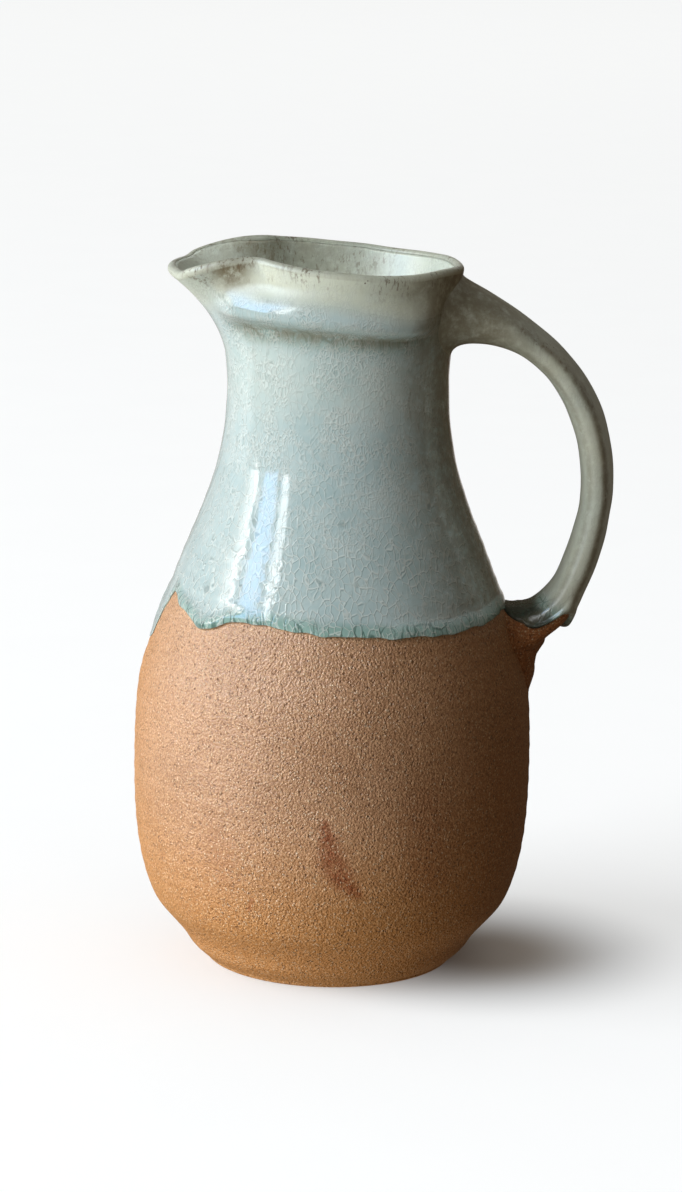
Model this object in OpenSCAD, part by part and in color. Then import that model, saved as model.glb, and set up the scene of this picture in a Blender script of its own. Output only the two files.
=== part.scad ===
// Hand-thrown stoneware pouring jug, in millimetres.
// The origin is the centre of the flat base, +Z is up, the spout points to -X and the handle to +X.
// A thrown body carries a tilted collar with a pulled spout, a pulled strap handle joins collar and
// shoulder, and a glaze coat covers the upper half and the whole inside.

/* [Body] */
// Radius of the flat base
base_r = 46; // [40:0.5:52]
// Rounding of the base's edge
base_edge = 1.5; // [0.5:0.1:2.5]
// Height of the trimmed bevel above the base
bevel_h = 22; // [16:0.5:28]
// Radius at the top of the trimmed bevel
bevel_r = 64.5; // [58:0.5:68]
// Width of the small ledge that the trimming tool left above the bevel
bevel_ledge = 0.8; // [0.3:0.1:1.6]
// Radius of the belly at its widest
belly_r = 74; // [70:0.5:80]
// Height of the belly's widest line
belly_h = 76; // [66:1:86]
// Radius where the shoulder curve turns from round to hollow
shoulder_r = 60; // [56:0.5:63]
// Height where the shoulder curve turns
shoulder_h = 143; // [136:1:150]
// Radius of the neck's clay
neck_r = 40; // [36:0.5:43]
// Height where the neck becomes straight
neck_h = 218; // [208:1:219]
// Wall thickness of the clay
wall_t = 5; // [4:0.1:6]
// Thickness of the floor
floor_t = 7; // [5:0.1:9]

/* [Collar and spout] */
// Height of the joint between neck and collar, on the axis
joint_h = 226; // [224:0.5:232]
// Height from the joint to the edge of the rim
collar_h = 36.5; // [33:0.5:42]
// Radius of the rim
rim_r = 44.5; // [43:0.5:48]
// Thickness of the rim
rim_t = 3.6; // [3:0.1:4.4]
// Tilt of the collar, which rises to the spout
collar_tilt = 5.3; // [0:0.1:7]
// Height of the ledge's crest above the joint
ledge_h = 23.5; // [22:0.5:26]
// Height over which the ledge swells out below its crest
ledge_rise = 7.5; // [6:0.5:10]
// How far the ledge stands out from the collar
ledge_out = 4.7; // [2:0.1:6]
// How far the spout reaches beyond the rim
spout_reach = 16.5; // [10:0.5:20]
// How far the lip of the spout dips below the rim
spout_drop = 9; // [4:0.5:12]
// Angle from the spout's middle to its throat
spout_angle = 47; // [42:1:52]
// How far the rim is pinched in beside the spout
throat_pinch = 4; // [1:0.5:5]

/* [Handle] */
// Height of the middle of the handle's upper end
handle_top_h = 244.5; // [243:0.5:246]
// Height of the middle of the handle's lower end
handle_bottom_h = 126; // [124:0.5:130]
// Distance from the jug's axis to the middle of the strap where it stands out most
handle_out_r = 96; // [90:0.5:104]
// Height where the strap stands out most
handle_out_h = 181; // [176:1:188]
// Thickness of the strap
strap_t = 9.4; // [8:0.2:12]
// Width of the strap
strap_w = 27; // [22:0.5:30]
// Height of the ridge along the middle of the strap's outer face
strap_ridge = 1; // [0.4:0.1:1.6]
// Height of the flared upper end on the collar
root_h = 22; // [21:0.5:26]
// Width of the flared upper end on the collar
root_w = 36; // [31:0.5:38]
// Thickness of the strap's lower end
heel_t = 16.8; // [13:0.2:17]
// Width of the strap's lower end
heel_w = 28; // [26:0.5:31]
// How far the strap sags below its lower end before it turns in
heel_drop = 3.5; // [0:0.5:4]
// Height from the handle's lower end down to the tip of the pressed clay tail
tail_l = 29; // [24:1:36]
// How far the tail would stand out from the belly at the middle of the strap's end
tail_t = 14.5; // [10:0.5:16]
// How much further in each side of the tail starts than the strap's
tail_inset = 2; // [1:0.5:4]

/* [Glaze] */
// Thickness of the outer coat
glaze_t = 0.8; // [0.5:0.05:1.1]
// Extra thickness of the rolled lower edge
roll_t = 0.7; // [0.3:0.05:1.1]
// Height over which the rolled edge thins out
roll_h = 6; // [4:0.5:9]
// Thickness of the coat inside
liner_t = 0.6; // [0.4:0.05:1]
// Mean height of the coat's lower edge
glaze_line_h = 137; // [136:0.5:140]
// Drop of the longest run below the mean edge
run_drop = 12; // [6:0.5:13]

/* [Hidden] */
$fn = 128;

clay = [0.70, 0.50, 0.35];
dark_clay = [0.52, 0.35, 0.24];
celadon = [0.70, 0.77, 0.74];
pale_celadon = [0.78, 0.82, 0.76];

// Gap left where a curved face is seated on another
seat_gap = 0.1;
// Gap left between the strap and its coat, whose lower rings lie at other places than the strap's
coat_gap = 0.2;
// How far the strap's ends are pushed into the wall before the wall's shape is cut off them
embed = 8;
// How far the strap's first ring stands off the collar
root_stand = 1;
// Overrun of a cut past what it cuts
overrun = 10;

// Steps along each curve of the profile, and in the corner of the base
curve_steps = 14;
edge_steps = 4;
// Columns round the collar and round the shoulder's coat
collar_cols = 60;
coat_cols = 72;
// Rings along each half of the strap, sides of a ring, slanted rings of its coat, and rings of the tail
strap_rings = 11;
strap_sides = 20;
coat_end_rings = 4;
tail_rings = 10;

// Where the curves' control points lie along their spans
belly_swell_share = 0.88;
belly_start_share = 0.27;
belly_end_share = 0.37;
crown_start_share = 0.79;
crown_end_share = 0.19;
hollow_start_share = 0.40;
hollow_end_share = 0.43;
shoulder_lean_share = 1.57;
floor_flat_share = 0.64;
floor_turn_share = 0.95;
floor_rise_share = 0.55;

// Rows of the collar from the joint to the rim, as shares of its height
collar_row_shares = [0.14, 0.30, 0.42, 0.48, 0.54, 0.59, 0.645, 0.72, 0.82, 0.92, 1];
inner_row_shares = [1, 0.85, 0.66, 0.44, 0.2];
rim_angles = [45, 90, 135];
// Power of the collar's flare, how much closer the columns lie at the spout, the spout's roundness,
// and the shares of its half angle over which its full reach and its lowest edge last
flare_power = 1.35;
crowd_share = 0.5;
spout_round_share = 0.12;
spout_flat_share = 0.62;
lip_flat_share = 0.35;
// Angle over which the throat's pinch fades, and the angles beside the handle where the ledge returns
throat_spread = 13;
ledge_off_angle = 24;
ledge_on_angle = 44;

// Where the handle's control points lie along its spans
top_pull_share = 0.63;
top_sag_share = 0.10;
out_up_share = 0.53;
out_down_share = 0.35;
heel_pull_share = 0.55;
root_reach_share = 0.39;
heel_reach_share = 0.5;
heel_full_share = 0.21;
// Share of the strap's lower half that its coat leaves bare, on the outer and on the inner side
bare_outer_share = 0.30;
bare_inner_share = 0.03;
// Roundness of the strap's section: 1 is an ellipse, less is squarer
strap_square = 0.8;
// How the tail's thickness and width fall towards its tip, and what is left there
tail_thin_power = 1.6;
tail_narrow_power = 0.7;
tail_tip_share = 0.07;

// Share of the rolled edge's height in which it swells to its full thickness
roll_lip_share = 0.1;
// What the coat adds to the clay's bulge between two of its rows, as a share of the bulge halfway
bulge_share = 1.5;
// Rows of the shoulder's coat, as shares of its height above the lower edge
coat_row_shares = [0.008, 0.03, 0.08, 0.16, 0.27, 0.40, 0.56, 0.76, 1];
// Runs of the lower edge: angle, drop as a share of run_drop, half width in degrees; a rise is negative
run_shares = [[183, 1, 8], [198, -0.42, 8], [222, 0.25, 7], [245, -0.17, 14], [312, 0.17, 34],
    [52, 0.22, 14], [84, -0.12, 9], [112, 0.34, 8], [146, 0.14, 16]];
// Height that the lower edge keeps clear above the strap's end, and how far round it rises there
heel_clear = 5;
heel_spread_share = 1.8;

function lerp(a, b, t) = a + (b - a) * t;
function clamp01(t) = max(0, min(1, t));
function ease(t) = t * t * (3 - 2 * t);
function smooth(a, b, x) = ease(clamp01((x - a) / (b - a)));
function unit(v) = v / norm(v);
function wrap(a) = a - 360 * floor((a + 180) / 360);
function bezier(p, t) = pow(1 - t, 3) * p[0] + 3 * pow(1 - t, 2) * t * p[1]
    + 3 * (1 - t) * t * t * p[2] + pow(t, 3) * p[3];
function curve(p, n) = [for (i = [1:n]) bezier(p, i / n)];

// The outer face of the clay, as radius and height
shoulder_lean = shoulder_lean_share * (belly_r - neck_r) / (neck_h - belly_h);
shoulder = [shoulder_r, shoulder_h];
crown_pull = [-shoulder_lean, 1] * crown_end_share * (shoulder_h - belly_h);
hollow_pull = [-shoulder_lean, 1] * hollow_start_share * (neck_h - shoulder_h);
lower_start = [bevel_r + bevel_ledge, bevel_h];
lower_belly = [lower_start,
    [lerp(lower_start.x, belly_r, belly_swell_share), lerp(bevel_h, belly_h, belly_start_share)],
    [belly_r, lerp(belly_h, bevel_h, belly_end_share)],
    [belly_r, belly_h]];
crown = [[belly_r, belly_h],
    [belly_r, lerp(belly_h, shoulder_h, crown_start_share)],
    shoulder - crown_pull,
    shoulder];
hollow = [shoulder,
    shoulder + hollow_pull,
    [neck_r, lerp(neck_h, shoulder_h, hollow_end_share)],
    [neck_r, neck_h]];
neck_top = joint_h + neck_r * tan(collar_tilt) + overrun;
base_corner = [for (i = [0:edge_steps]) let (a = 90 * i / edge_steps)
    [base_r - base_edge + base_edge * sin(a), base_edge - base_edge * cos(a)]];
upper_path = concat(curve(crown, curve_steps), curve(hollow, curve_steps), [[neck_r, neck_top]]);
outer_path = concat(base_corner, [[bevel_r, bevel_h]], [lower_start], curve(lower_belly, curve_steps),
    upper_path);
profile_table = [for (p = outer_path) [p.y, p.x]];
function body_r(z) = lookup(z, profile_table);

// A path moved sideways by d, to the axis side where d is positive
function path_tangent(p, i) = unit(p[min(i + 1, len(p) - 1)] - p[max(i - 1, 0)]);
function inset(p, d) = [for (i = [0:len(p) - 1]) let (t = path_tangent(p, i)) p[i] + d * [-t.y, t.x]];

// The inner face, d further in than the clay's own, with the wall measured level above the belly
belly_top = [[belly_r, belly_h]];
function inner_upper(d) = [for (p = concat(belly_top, upper_path)) [p.x - wall_t - d, p.y]];
function floor_curve(d) = let (r = belly_r - wall_t - d, foot = bevel_r - wall_t - d, z = floor_t + d)
    [[foot * floor_flat_share, z],
    [foot * floor_turn_share, z],
    [r, lerp(belly_h, z, floor_rise_share)],
    [r, belly_h]];
function inner_path(d) = concat([[0, floor_t + d], floor_curve(d)[0]],
    curve(floor_curve(d), curve_steps), [for (i = [1:len(upper_path)]) inner_upper(d)[i]]);
function reversed(p) = [for (i = [len(p) - 1:-1:0]) p[i]];

// The tilted plane where the neck ends and the collar starts
collar_slope = tan(collar_tilt);
function joint_z(x) = joint_h - x * collar_slope;
function on_joint(r, a) = [r * cos(a), r * sin(a), joint_z(r * cos(a))];

module above_joint() {
    half = belly_r + overrun;
    translate([0, 0, joint_h])
        rotate([0, collar_tilt, 0])
            translate([-half, -half, 0])
                cube([2 * half, 2 * half, neck_top]);
}

// The collar: f is the angle from the spout's middle, v runs from 0 at the joint to 1 at the rim
function column_angle(i) = let (u = 360 * i / collar_cols) u - crowd_share * 180 / PI * sin(u);
function spout_share(f) = 1 - smooth(spout_angle * spout_flat_share, spout_angle, f);
function throat_share(f) = exp(-pow((f - spout_angle) / throat_spread, 2));
function collar_rim_r(f) = rim_r - throat_pinch * throat_share(f)
    + spout_reach * spout_share(f) * (1 - spout_round_share * pow(f / spout_angle, 2));
function collar_rim_h(f) = collar_h
    - spout_drop * (1 - smooth(spout_angle * lip_flat_share, spout_angle, f));
function ledge_share(f) = smooth(ledge_off_angle, ledge_on_angle, 180 - f)
    * smooth(spout_angle * spout_flat_share, spout_angle + throat_spread, f);
ledge_v = ledge_h / collar_h;
under_v = (ledge_h - ledge_rise) / collar_h;
function ledge_form(v) = smooth(under_v, ledge_v, v) * (1 - smooth(ledge_v, 1, v));
function collar_r(f, v, ledge) = neck_r + (collar_rim_r(f) - neck_r) * pow(v, flare_power)
    + ledge * ledge_share(f) * ledge_form(v);
function collar_point(a, v, ledge) = let (f = abs(wrap(a)), r = collar_r(f, v, ledge),
        x = -r * cos(a), y = -r * sin(a))
    [x, y, joint_z(x) + collar_rim_h(f) * v];

// Small steps that measure the collar's slopes round it and up it
probe_a = 0.5;
probe_v = 0.01;
function collar_round(a, v, ledge) = collar_point(a + probe_a, v, ledge)
    - collar_point(a - probe_a, v, ledge);
function collar_up(a, v, ledge) = unit(collar_point(a, v + probe_v, ledge)
    - collar_point(a, v - probe_v, ledge));
function collar_normal(a, v, ledge) = unit(cross(collar_round(a, v, ledge), collar_up(a, v, ledge)));

// One column of the collar, from the joint up the outside, over the rim and down the inside,
// with its outside moved out and its inside moved in by a coat's thickness
function collar_outside(a, t, ledge = ledge_out) = concat([on_joint(neck_r + t, a + 180)],
    [for (v = collar_row_shares) collar_point(a, v, ledge) + t * collar_normal(a, v, ledge)]);
function collar_rim(a, t) = let (n = collar_normal(a, 1, 0), up = collar_up(a, 1, 0),
        middle = collar_point(a, 1, 0) - n * rim_t / 2, r = rim_t / 2 + t)
    [for (b = rim_angles) middle + r * (n * cos(b) + up * sin(b))];
function collar_inside(a, t) = concat(
    [for (v = inner_row_shares) collar_point(a, v, 0)
        - (lerp(wall_t, rim_t, v) + t) * collar_normal(a, v, 0)],
    [on_joint(neck_r - wall_t - t, a + 180)]);
function collar_loop(a, out, in) = concat(collar_outside(a, out), collar_rim(a, out),
    collar_inside(a, in));
outside_rows = len(collar_row_shares) + 1;
collar_rows = outside_rows + len(rim_angles) + len(inner_row_shares) + 1;

function flat(lists) = [for (l = lists) for (p = l) p];
function collar_grid(out, in) = flat([for (i = [0:collar_cols - 1])
    collar_loop(column_angle(i), out, in)]);

// Triangles of a closed strip of columns, and of the strips that join two such grids
function quad(a, b, c, d) = [[a, b, c], [a, c, d]];
function grid_faces(cols, rows, strips) = flat([for (i = [0:cols - 1], j = [0:strips - 1])
    let (a = i * rows, b = (i + 1) % cols * rows, k = (j + 1) % rows)
    quad(a + j, a + k, b + k, b + j)]);
function flipped(faces, shift) = [for (t = faces) [t[2] + shift, t[1] + shift, t[0] + shift]];
function shell_faces(cols, rows) = let (n = cols * rows, faces = grid_faces(cols, rows, rows - 1))
    concat(faces, flipped(faces, n),
        flat([for (i = [0:cols - 1]) let (a = i * rows, b = (i + 1) % cols * rows, e = rows - 1)
            concat(quad(a, b, b + n, a + n), quad(b + e, a + e, a + n + e, b + n + e))]));

// The space that the collar's outside encloses, grown by t
module collar_core(t, ledge) {
    grid = flat([for (i = [0:collar_cols - 1]) collar_outside(column_angle(i), t, ledge)]);
    rows = outside_rows;
    middle = len(grid);
    top = [0, 0, joint_h + collar_h];
    faces = concat(grid_faces(collar_cols, rows, rows - 1),
        [[for (i = [0:collar_cols - 1]) i * rows]],
        [for (i = [0:collar_cols - 1])
            [(i + 1) % collar_cols * rows + rows - 1, i * rows + rows - 1, middle]]);
    polyhedron(points = concat(grid, [top]), faces = faces, convexity = 6);
}

// The space that the body's outside encloses, with the gap of a seat
module body_core() {
    rotate_extrude()
        polygon(concat([[0, 0]], inset(outer_path, -seat_gap), [[0, neck_top]]));
}

// The strap's middle line runs over two curves, s from 0 to 1 and from 1 to 2
top_v = (handle_top_h - joint_z(rim_r)) / collar_h;
strap_start = [collar_r(180, top_v, 0) + root_stand, handle_top_h];
strap_end = [body_r(handle_bottom_h), handle_bottom_h];
strap_turn = [handle_out_r, handle_out_h];
top_fall = handle_top_h - handle_out_h;
strap_upper = [strap_start,
    [lerp(strap_start.x, handle_out_r, top_pull_share), handle_top_h - top_fall * top_sag_share],
    [handle_out_r, handle_out_h + top_fall * out_up_share],
    strap_turn];
strap_lower = [strap_turn,
    [handle_out_r, lerp(handle_out_h, handle_bottom_h, out_down_share)],
    [lerp(strap_end.x, handle_out_r, heel_pull_share), handle_bottom_h - heel_drop],
    strap_end];
function strap_line(s) = s < 1 ? bezier(strap_upper, s) : bezier(strap_lower, s - 1);
probe_s = 0.01;
function strap_way(s) = unit(strap_line(min(s + probe_s, 2)) - strap_line(max(s - probe_s, 0)));
function root_part(s) = pow(1 - clamp01(s / root_reach_share), 2);
function heel_part(s) = smooth(2 - heel_reach_share, 2 - heel_full_share, s);
function swollen(plain, root, heel, s) = plain + (root - plain) * root_part(s)
    + (heel - plain) * heel_part(s);
function rounded(c) = sign(c) * pow(abs(c), strap_square);

// A point on the strap's face, b degrees round it from the outer side, grown by a coat's thickness,
// and a ring of such points, sunk level towards the jug's axis
function strap_point(s, b, t, sink = 0) = let (way = strap_way(s), c = strap_line(s) - [sink, 0],
        h = swollen(strap_t, root_h, heel_t, s) / 2 + t,
        w = swollen(strap_w, root_w, heel_w, s) / 2 + t,
        ridge = strap_ridge * (1 - root_part(s)) * (1 - heel_part(s)),
        n = h * rounded(cos(b)) + ridge * max(0, 2 * cos(b) - 1))
    [c.x - n * way.y, w * rounded(sin(b)), c.y + n * way.x];
function strap_ring(s, t, sink = 0) = [for (k = [0:strap_sides - 1])
    strap_point(s, 360 * k / strap_sides, t, sink)];

// A chain of convex links between rings
module link(a, b) {
    n = len(a);
    hull()
        polyhedron(points = concat(a, b), faces = [[for (k = [0:n - 1]) k], [for (k = [0:n - 1]) n + k]]);
}

// The strap grown by t; each link spans reach rings, and longer links in a cut lap over the others' ends
module strap(t, reach = 1) {
    lap = (reach - 1) / strap_rings;
    link(strap_ring(0, t, embed), strap_ring(lap, t));
    for (i = [0:2 * strap_rings - 1])
        link(strap_ring(i / strap_rings, t), strap_ring(min(2, (i + reach) / strap_rings), t));
    link(strap_ring(2 - lap, t), strap_ring(2, t, embed));
}

// The strap's coat: each line along it starts on the collar's face and ends on a slanted lower edge
function collar_face_x(p) = let (f = 180 - abs(atan2(p.y, p.x)),
        v = clamp01((p.z - joint_z(p.x)) / collar_rim_h(f)))
    sqrt(pow(collar_r(f, v, ledge_out) + seat_gap, 2) - p.y * p.y);
function on_collar(p, tries = 3) = tries == 0 ? p : on_collar([collar_face_x(p), p.y, p.z], tries - 1);
coat_plain_rings = floor((2 - bare_outer_share) * strap_rings);
coat_plain_end = coat_plain_rings / strap_rings;
function coat_end(b) = 2 - lerp(bare_inner_share, bare_outer_share, (1 + cos(b)) / 2);
function strap_coat_line(b, t) = concat([on_collar(strap_point(0, b, t))],
    [for (i = [0:coat_plain_rings]) strap_point(i / strap_rings, b, t)],
    [for (j = [1:coat_end_rings])
        strap_point(lerp(coat_plain_end, coat_end(b), j / coat_end_rings), b, t)]);
function strap_coat_grid(t) = flat([for (k = [0:strap_sides - 1])
    strap_coat_line(-360 * k / strap_sides, t)]);

// The tail: rings centred on the belly's face, each half of it sunk in the wall
function tail_z(k) = handle_bottom_h - tail_l * k / tail_rings;
function tail_size(full, power, k) = full * max(tail_tip_share, pow(1 - k / tail_rings, power));
function tail_ring(k) = let (z = tail_z(k), r = body_r(z),
        d = tail_size(tail_t, tail_thin_power, k),
        w = tail_size(heel_w / 2 - tail_inset, tail_narrow_power, k))
    [for (j = [0:strap_sides - 1]) let (b = 360 * j / strap_sides)
        [r + d * cos(b), w * sin(b), z]];

module tail() {
    for (k = [0:tail_rings - 1])
        link(tail_ring(k), tail_ring(k + 1));
}

// The shoulder's coat: its wavy lower edge, its thickness above that edge, and its two faces
function run_at(a) = [for (r = run_shares) r[1] * exp(-pow(wrap(a - r[0]) / r[2], 2))];
function total(list, i = 0) = i < len(list) ? list[i] + total(list, i + 1) : 0;
heel_rise = handle_bottom_h + heel_t / 2 + heel_clear - glaze_line_h;
heel_spread = heel_spread_share * asin(heel_w / 2 / body_r(handle_bottom_h));
function edge_z(a) = glaze_line_h - run_drop * total(run_at(a))
    + heel_rise * exp(-pow(wrap(a) / heel_spread, 4));
function coat_t(z, a) = let (above = z - edge_z(a))
    glaze_t + roll_t * exp(-above / roll_h) * clamp01(above / (roll_h * roll_lip_share));
function facet_r(r) = (r + seat_gap) / cos(180 / coat_cols);
function coat_z(a, share) = lerp(edge_z(a), joint_z(neck_r * cos(a)), share);
// Radius of the clay at a row, with what the clay bulges out between that row and the next ones
function bulge(z, next) = bulge_share * max(0, body_r((z + next) / 2) - (body_r(z) + body_r(next)) / 2);
function row_z(a, i) = coat_z(a, i < 0 ? 0 : coat_row_shares[min(i, len(coat_row_shares) - 1)]);
function clay_r(a, i) = let (z = row_z(a, i))
    body_r(z) + max(bulge(z, row_z(a, i - 1)), bulge(z, row_z(a, i + 1)));
function ring_point(r, a, z) = [r * cos(a), r * sin(a), z];
function coat_outside(a) = concat(
    [ring_point(facet_r(clay_r(a, -1)) + seat_gap, a, edge_z(a))],
    [for (i = [0:len(coat_row_shares) - 1]) let (z = row_z(a, i))
        coat_row_shares[i] < 1 ? ring_point(clay_r(a, i) + coat_t(z, a), a, z)
        : on_joint(neck_r + glaze_t, a)]);
function coat_inside(a) = concat(
    [ring_point(facet_r(clay_r(a, -1)), a, edge_z(a))],
    [for (i = [0:len(coat_row_shares) - 1]) let (z = row_z(a, i))
        coat_row_shares[i] < 1 ? ring_point(facet_r(clay_r(a, i)), a, z) : on_joint(facet_r(neck_r), a)]);

module stoneware_body() {
    color(clay)
        difference() {
            rotate_extrude()
                polygon(concat([[0, 0]], outer_path, reversed(inner_path(0))));
            above_joint();
        }
}

module pouring_collar() {
    color(clay)
        polyhedron(points = collar_grid(0, 0),
            faces = grid_faces(collar_cols, collar_rows, collar_rows), convexity = 6);
}

module handle_strap() {
    color(clay)
        difference() {
            strap(0);
            collar_core(0, ledge_out);
            body_core();
        }
}

module handle_tail() {
    color(dark_clay)
        difference() {
            tail();
            body_core();
            strap(seat_gap);
            strap(seat_gap, 2);
        }
}

module shoulder_glaze() {
    color(celadon)
        polyhedron(
            points = concat(flat([for (i = [0:coat_cols - 1]) coat_outside(360 * i / coat_cols)]),
                flat([for (i = [0:coat_cols - 1]) coat_inside(360 * i / coat_cols)])),
            faces = shell_faces(coat_cols, len(coat_row_shares) + 1), convexity = 6);
}

module collar_glaze() {
    color(pale_celadon)
        difference() {
            polyhedron(points = concat(collar_grid(glaze_t, liner_t), collar_grid(0, 0)),
                faces = shell_faces(collar_cols, collar_rows), convexity = 8);
            difference() {
                strap(glaze_t);
                collar_core(-rim_t / 2, 0);
            }
        }
}

module handle_glaze() {
    color(celadon)
        polyhedron(points = concat(strap_coat_grid(glaze_t), strap_coat_grid(coat_gap)),
            faces = shell_faces(strap_sides, coat_plain_rings + coat_end_rings + 2), convexity = 8);
}

module liner_glaze() {
    color(pale_celadon)
        difference() {
            rotate_extrude()
                polygon(concat(inner_path(0), reversed(inner_path(liner_t))));
            above_joint();
        }
}

stoneware_body();
pouring_collar();
handle_strap();
handle_tail();
shoulder_glaze();
collar_glaze();
handle_glaze();
liner_glaze();
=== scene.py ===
"""Looks of a hand-thrown stoneware pouring jug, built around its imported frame.

Sizes are in millimetres until a mesh is made, and every mesh is in metres. The origin is the centre of
the base, +Z is up, the spout points to -X, the handle to +X, and the photograph is taken from -Y.
"""
import math

import bpy
import numpy as np
from mathutils import Euler, Matrix, Vector


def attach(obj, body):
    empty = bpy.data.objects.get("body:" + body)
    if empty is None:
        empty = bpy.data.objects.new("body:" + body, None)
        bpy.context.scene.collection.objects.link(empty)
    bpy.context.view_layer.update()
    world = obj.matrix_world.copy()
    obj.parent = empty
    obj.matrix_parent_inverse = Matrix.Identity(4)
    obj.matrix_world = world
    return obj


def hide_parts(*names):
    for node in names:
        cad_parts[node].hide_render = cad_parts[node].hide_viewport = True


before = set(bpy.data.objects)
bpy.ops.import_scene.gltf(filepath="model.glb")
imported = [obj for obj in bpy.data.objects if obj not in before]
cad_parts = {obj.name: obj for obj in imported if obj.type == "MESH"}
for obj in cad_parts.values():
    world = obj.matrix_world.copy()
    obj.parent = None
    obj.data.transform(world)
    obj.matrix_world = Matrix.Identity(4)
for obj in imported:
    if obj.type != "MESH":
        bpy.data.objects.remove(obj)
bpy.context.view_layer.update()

MM = 0.001

# Body
BASE_R, BASE_EDGE = 46.8, 1.3
BEVEL_R, BEVEL_H, BEVEL_LEDGE, BEVEL_BREAK = 64.5, 22.0, 0.8, 0.5
BELLY_R, BELLY_H = 74.0, 76.0
SHOULDER_R, SHOULDER_H, SHOULDER_LEAN = 60.0, 143.0, 1.57
NECK_R, NECK_H, NECK_SPARE = 40.0, 218.0, 40.0
WALL_T, FLOOR_T, FLOOR_FLAT = 5.0, 7.0, 0.55
STRAIGHT_H = 205.0
AXIS_R, SLOPE_STEP = 2.0, 0.6

# Pulls of the outline's curves, as shares of the way to the next corner
FOOT_CURVE_R, FOOT_CURVE_H = 0.88, 0.27
BELLY_CURVE_LOW, BELLY_CURVE_HIGH = 0.37, 0.79
SHOULDER_CURVE_LOW, SHOULDER_CURVE_HIGH = 0.19, 0.40
NECK_CURVE = 0.43
FLOOR_CURVE_H, FLOOR_CURVE_R = 0.55, 0.40

# Wear of the trimmed corners, the fuller foot and the slimmer shoulder, by height
WEAR_W, WEAR_STEP, WEAR_REACH = 3.2, 0.25, 8.0
WEAR_LOW, WEAR_HIGH = -10.0, 80.0
WEAR_SPAN = (5.0, 12.0), (42.0, 54.0)
SWELL_OUT, SWELL_H, SWELL_W, SWELL_RISE = 1.3, 6.0, 4.0, (0.0, 3.0)
SLIM_IN, SLIM_H, SLIM_W = 1.6, 124.0, 11.0

# Departures from a true round: waves as (size, turns, phase), grooves as (depth, spacing, turns, phase)
OVAL_WAVES = [(0.25, 2, 0.6 + math.pi / 2), (0.14, 3, 1.0)]
OVAL_SPAN = (0, 30), (195, 224)
RING_GROOVES = [(0.07, 6.8, 1, 0.0), (0.03, 3.3, -2, 1.3)]
RING_SPAN = (24, 40), (150, 200)
TRIM_GROOVES, TRIM_H, TRIM_W = [(0.05, 1.7, 2, 0.0)], 12, 9

# Collar and spout; their angles are degrees from the spout's middle
JOINT_H, COLLAR_H = 226.0, 36.5
RIM_R, RIM_T = 44.5, 2.2
COLLAR_SLOPE = math.tan(math.radians(5.3))
SPOUT_REACH, SPOUT_DROP, SPOUT_DIP = 17.4, 9.3, (19, 49)
SPOUT_ANGLE, SPOUT_LOW_ANGLE, SPOUT_FLAT_ANGLE, SPOUT_POINT = 50.0, 75.0, 25.0, 0.12
THROAT_PINCH, THROAT_SPREAD = 0.5, 8.0
FLARE_POWER, PULL_POWER, PULL_START = 1.35, 3.5, 208.0
V_STEP, ANGLE_STEP = 0.01, 0.5
# Swells of the rim as (height, angle, half width), its rises as (height, angles) and its waves
RIM_SWELLS = [(1.5, 39, 15), (0.7, 65, 16)]
RIM_RISES = [(0.5, (60, 95)), (2.5, (105, 160))]
RIM_WAVES = [(0.2, 3, 0.8), (0.1, 7, 2.0), (0.05, 13, 0.0)]
# The ledge: its crest is lower beside the spout and higher at the handle, and it fades out at both
LEDGE_H, LEDGE_OUT = 21.0, 6.2
LEDGE_DIP, LEDGE_DIP_ANGLES = 2.3, (30, 90)
LEDGE_LIFT, LEDGE_LIFT_ANGLES = 1.6, (120, 145)
LEDGE_FROM_SPOUT, LEDGE_FROM_HANDLE = (20, 42), (27, 58)
LEDGE_RISE, LEDGE_FALL, LEDGE_FALL_MIN = 5.6, 12.0, 1.0
CREST_BELOW, CREST_ABOVE, CREST_TO_RIM = 0.3, 0.5, 0.3

# Handle: s runs along the strap from 0 at the collar to 2 at the belly, b is degrees from its outer side
HANDLE_TOP_H, HANDLE_BOTTOM_H = 245.5, 126.0
HANDLE_OUT_R, HANDLE_OUT_H = 96.0, 181.0
STRAP_T, STRAP_W, STRAP_SQUARE = 9.4, 27.0, 0.8
STRAP_RIDGE, RIDGE_W = 1.0, 0.35
ROOT_H, ROOT_W, ROOT_RUN, ROOT_LIFT = 22.0, 36.0, 0.39, 1.0
HEEL_T, HEEL_W, HEEL_DROP, HEEL_RUN = 16.8, 28.0, 3.5, (1.5, 1.79)
CROOK_FILL, CROOK_RUN = 1.8, (1.70, 1.86)
HEEL_HOLLOW, HEEL_HOLLOW_S, HEEL_HOLLOW_W = 3.4, 1.78, 0.11
LOWER_RUN = 62.0
STRAP_SIDES, S_STEP = 120, 0.01
# Pulls of the strap's two curves, as shares of the way across or of the fall
TOP_CURVE_R, TOP_CURVE_H, OUT_CURVE_UP = 0.63, 0.10, 0.53
OUT_CURVE_DOWN, BOTTOM_CURVE_R = 0.35, 0.55
# Lumps of the strap: size, spacing along it, turns round it, phase
STRAP_LUMPS = [(0.18, math.tau / 9, 0, 1.0), (0.07, math.tau / 21, 2, 0.0), (0.04, math.tau / 37, 0, 0.0)]
# Fillets: where they start, and how far they reach all round, at the sides, outside and inside
UPPER_FILLET_S, UPPER_FILLET = 0.10, (4.5, 1.0, -2.2, 0.0)
LOWER_FILLET_S, LOWER_FILLET = 1.90, (3.0, 1.5, 0.0, -2.9)
FILLET_HOLLOW, FILLET_LEAD = 0.8, 0.6
UPPER_FOOT_SUNK, COAT_FOOT_SUNK, CLAY_FOOT_SUNK = 0.08, 0.3, 0.25

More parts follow.
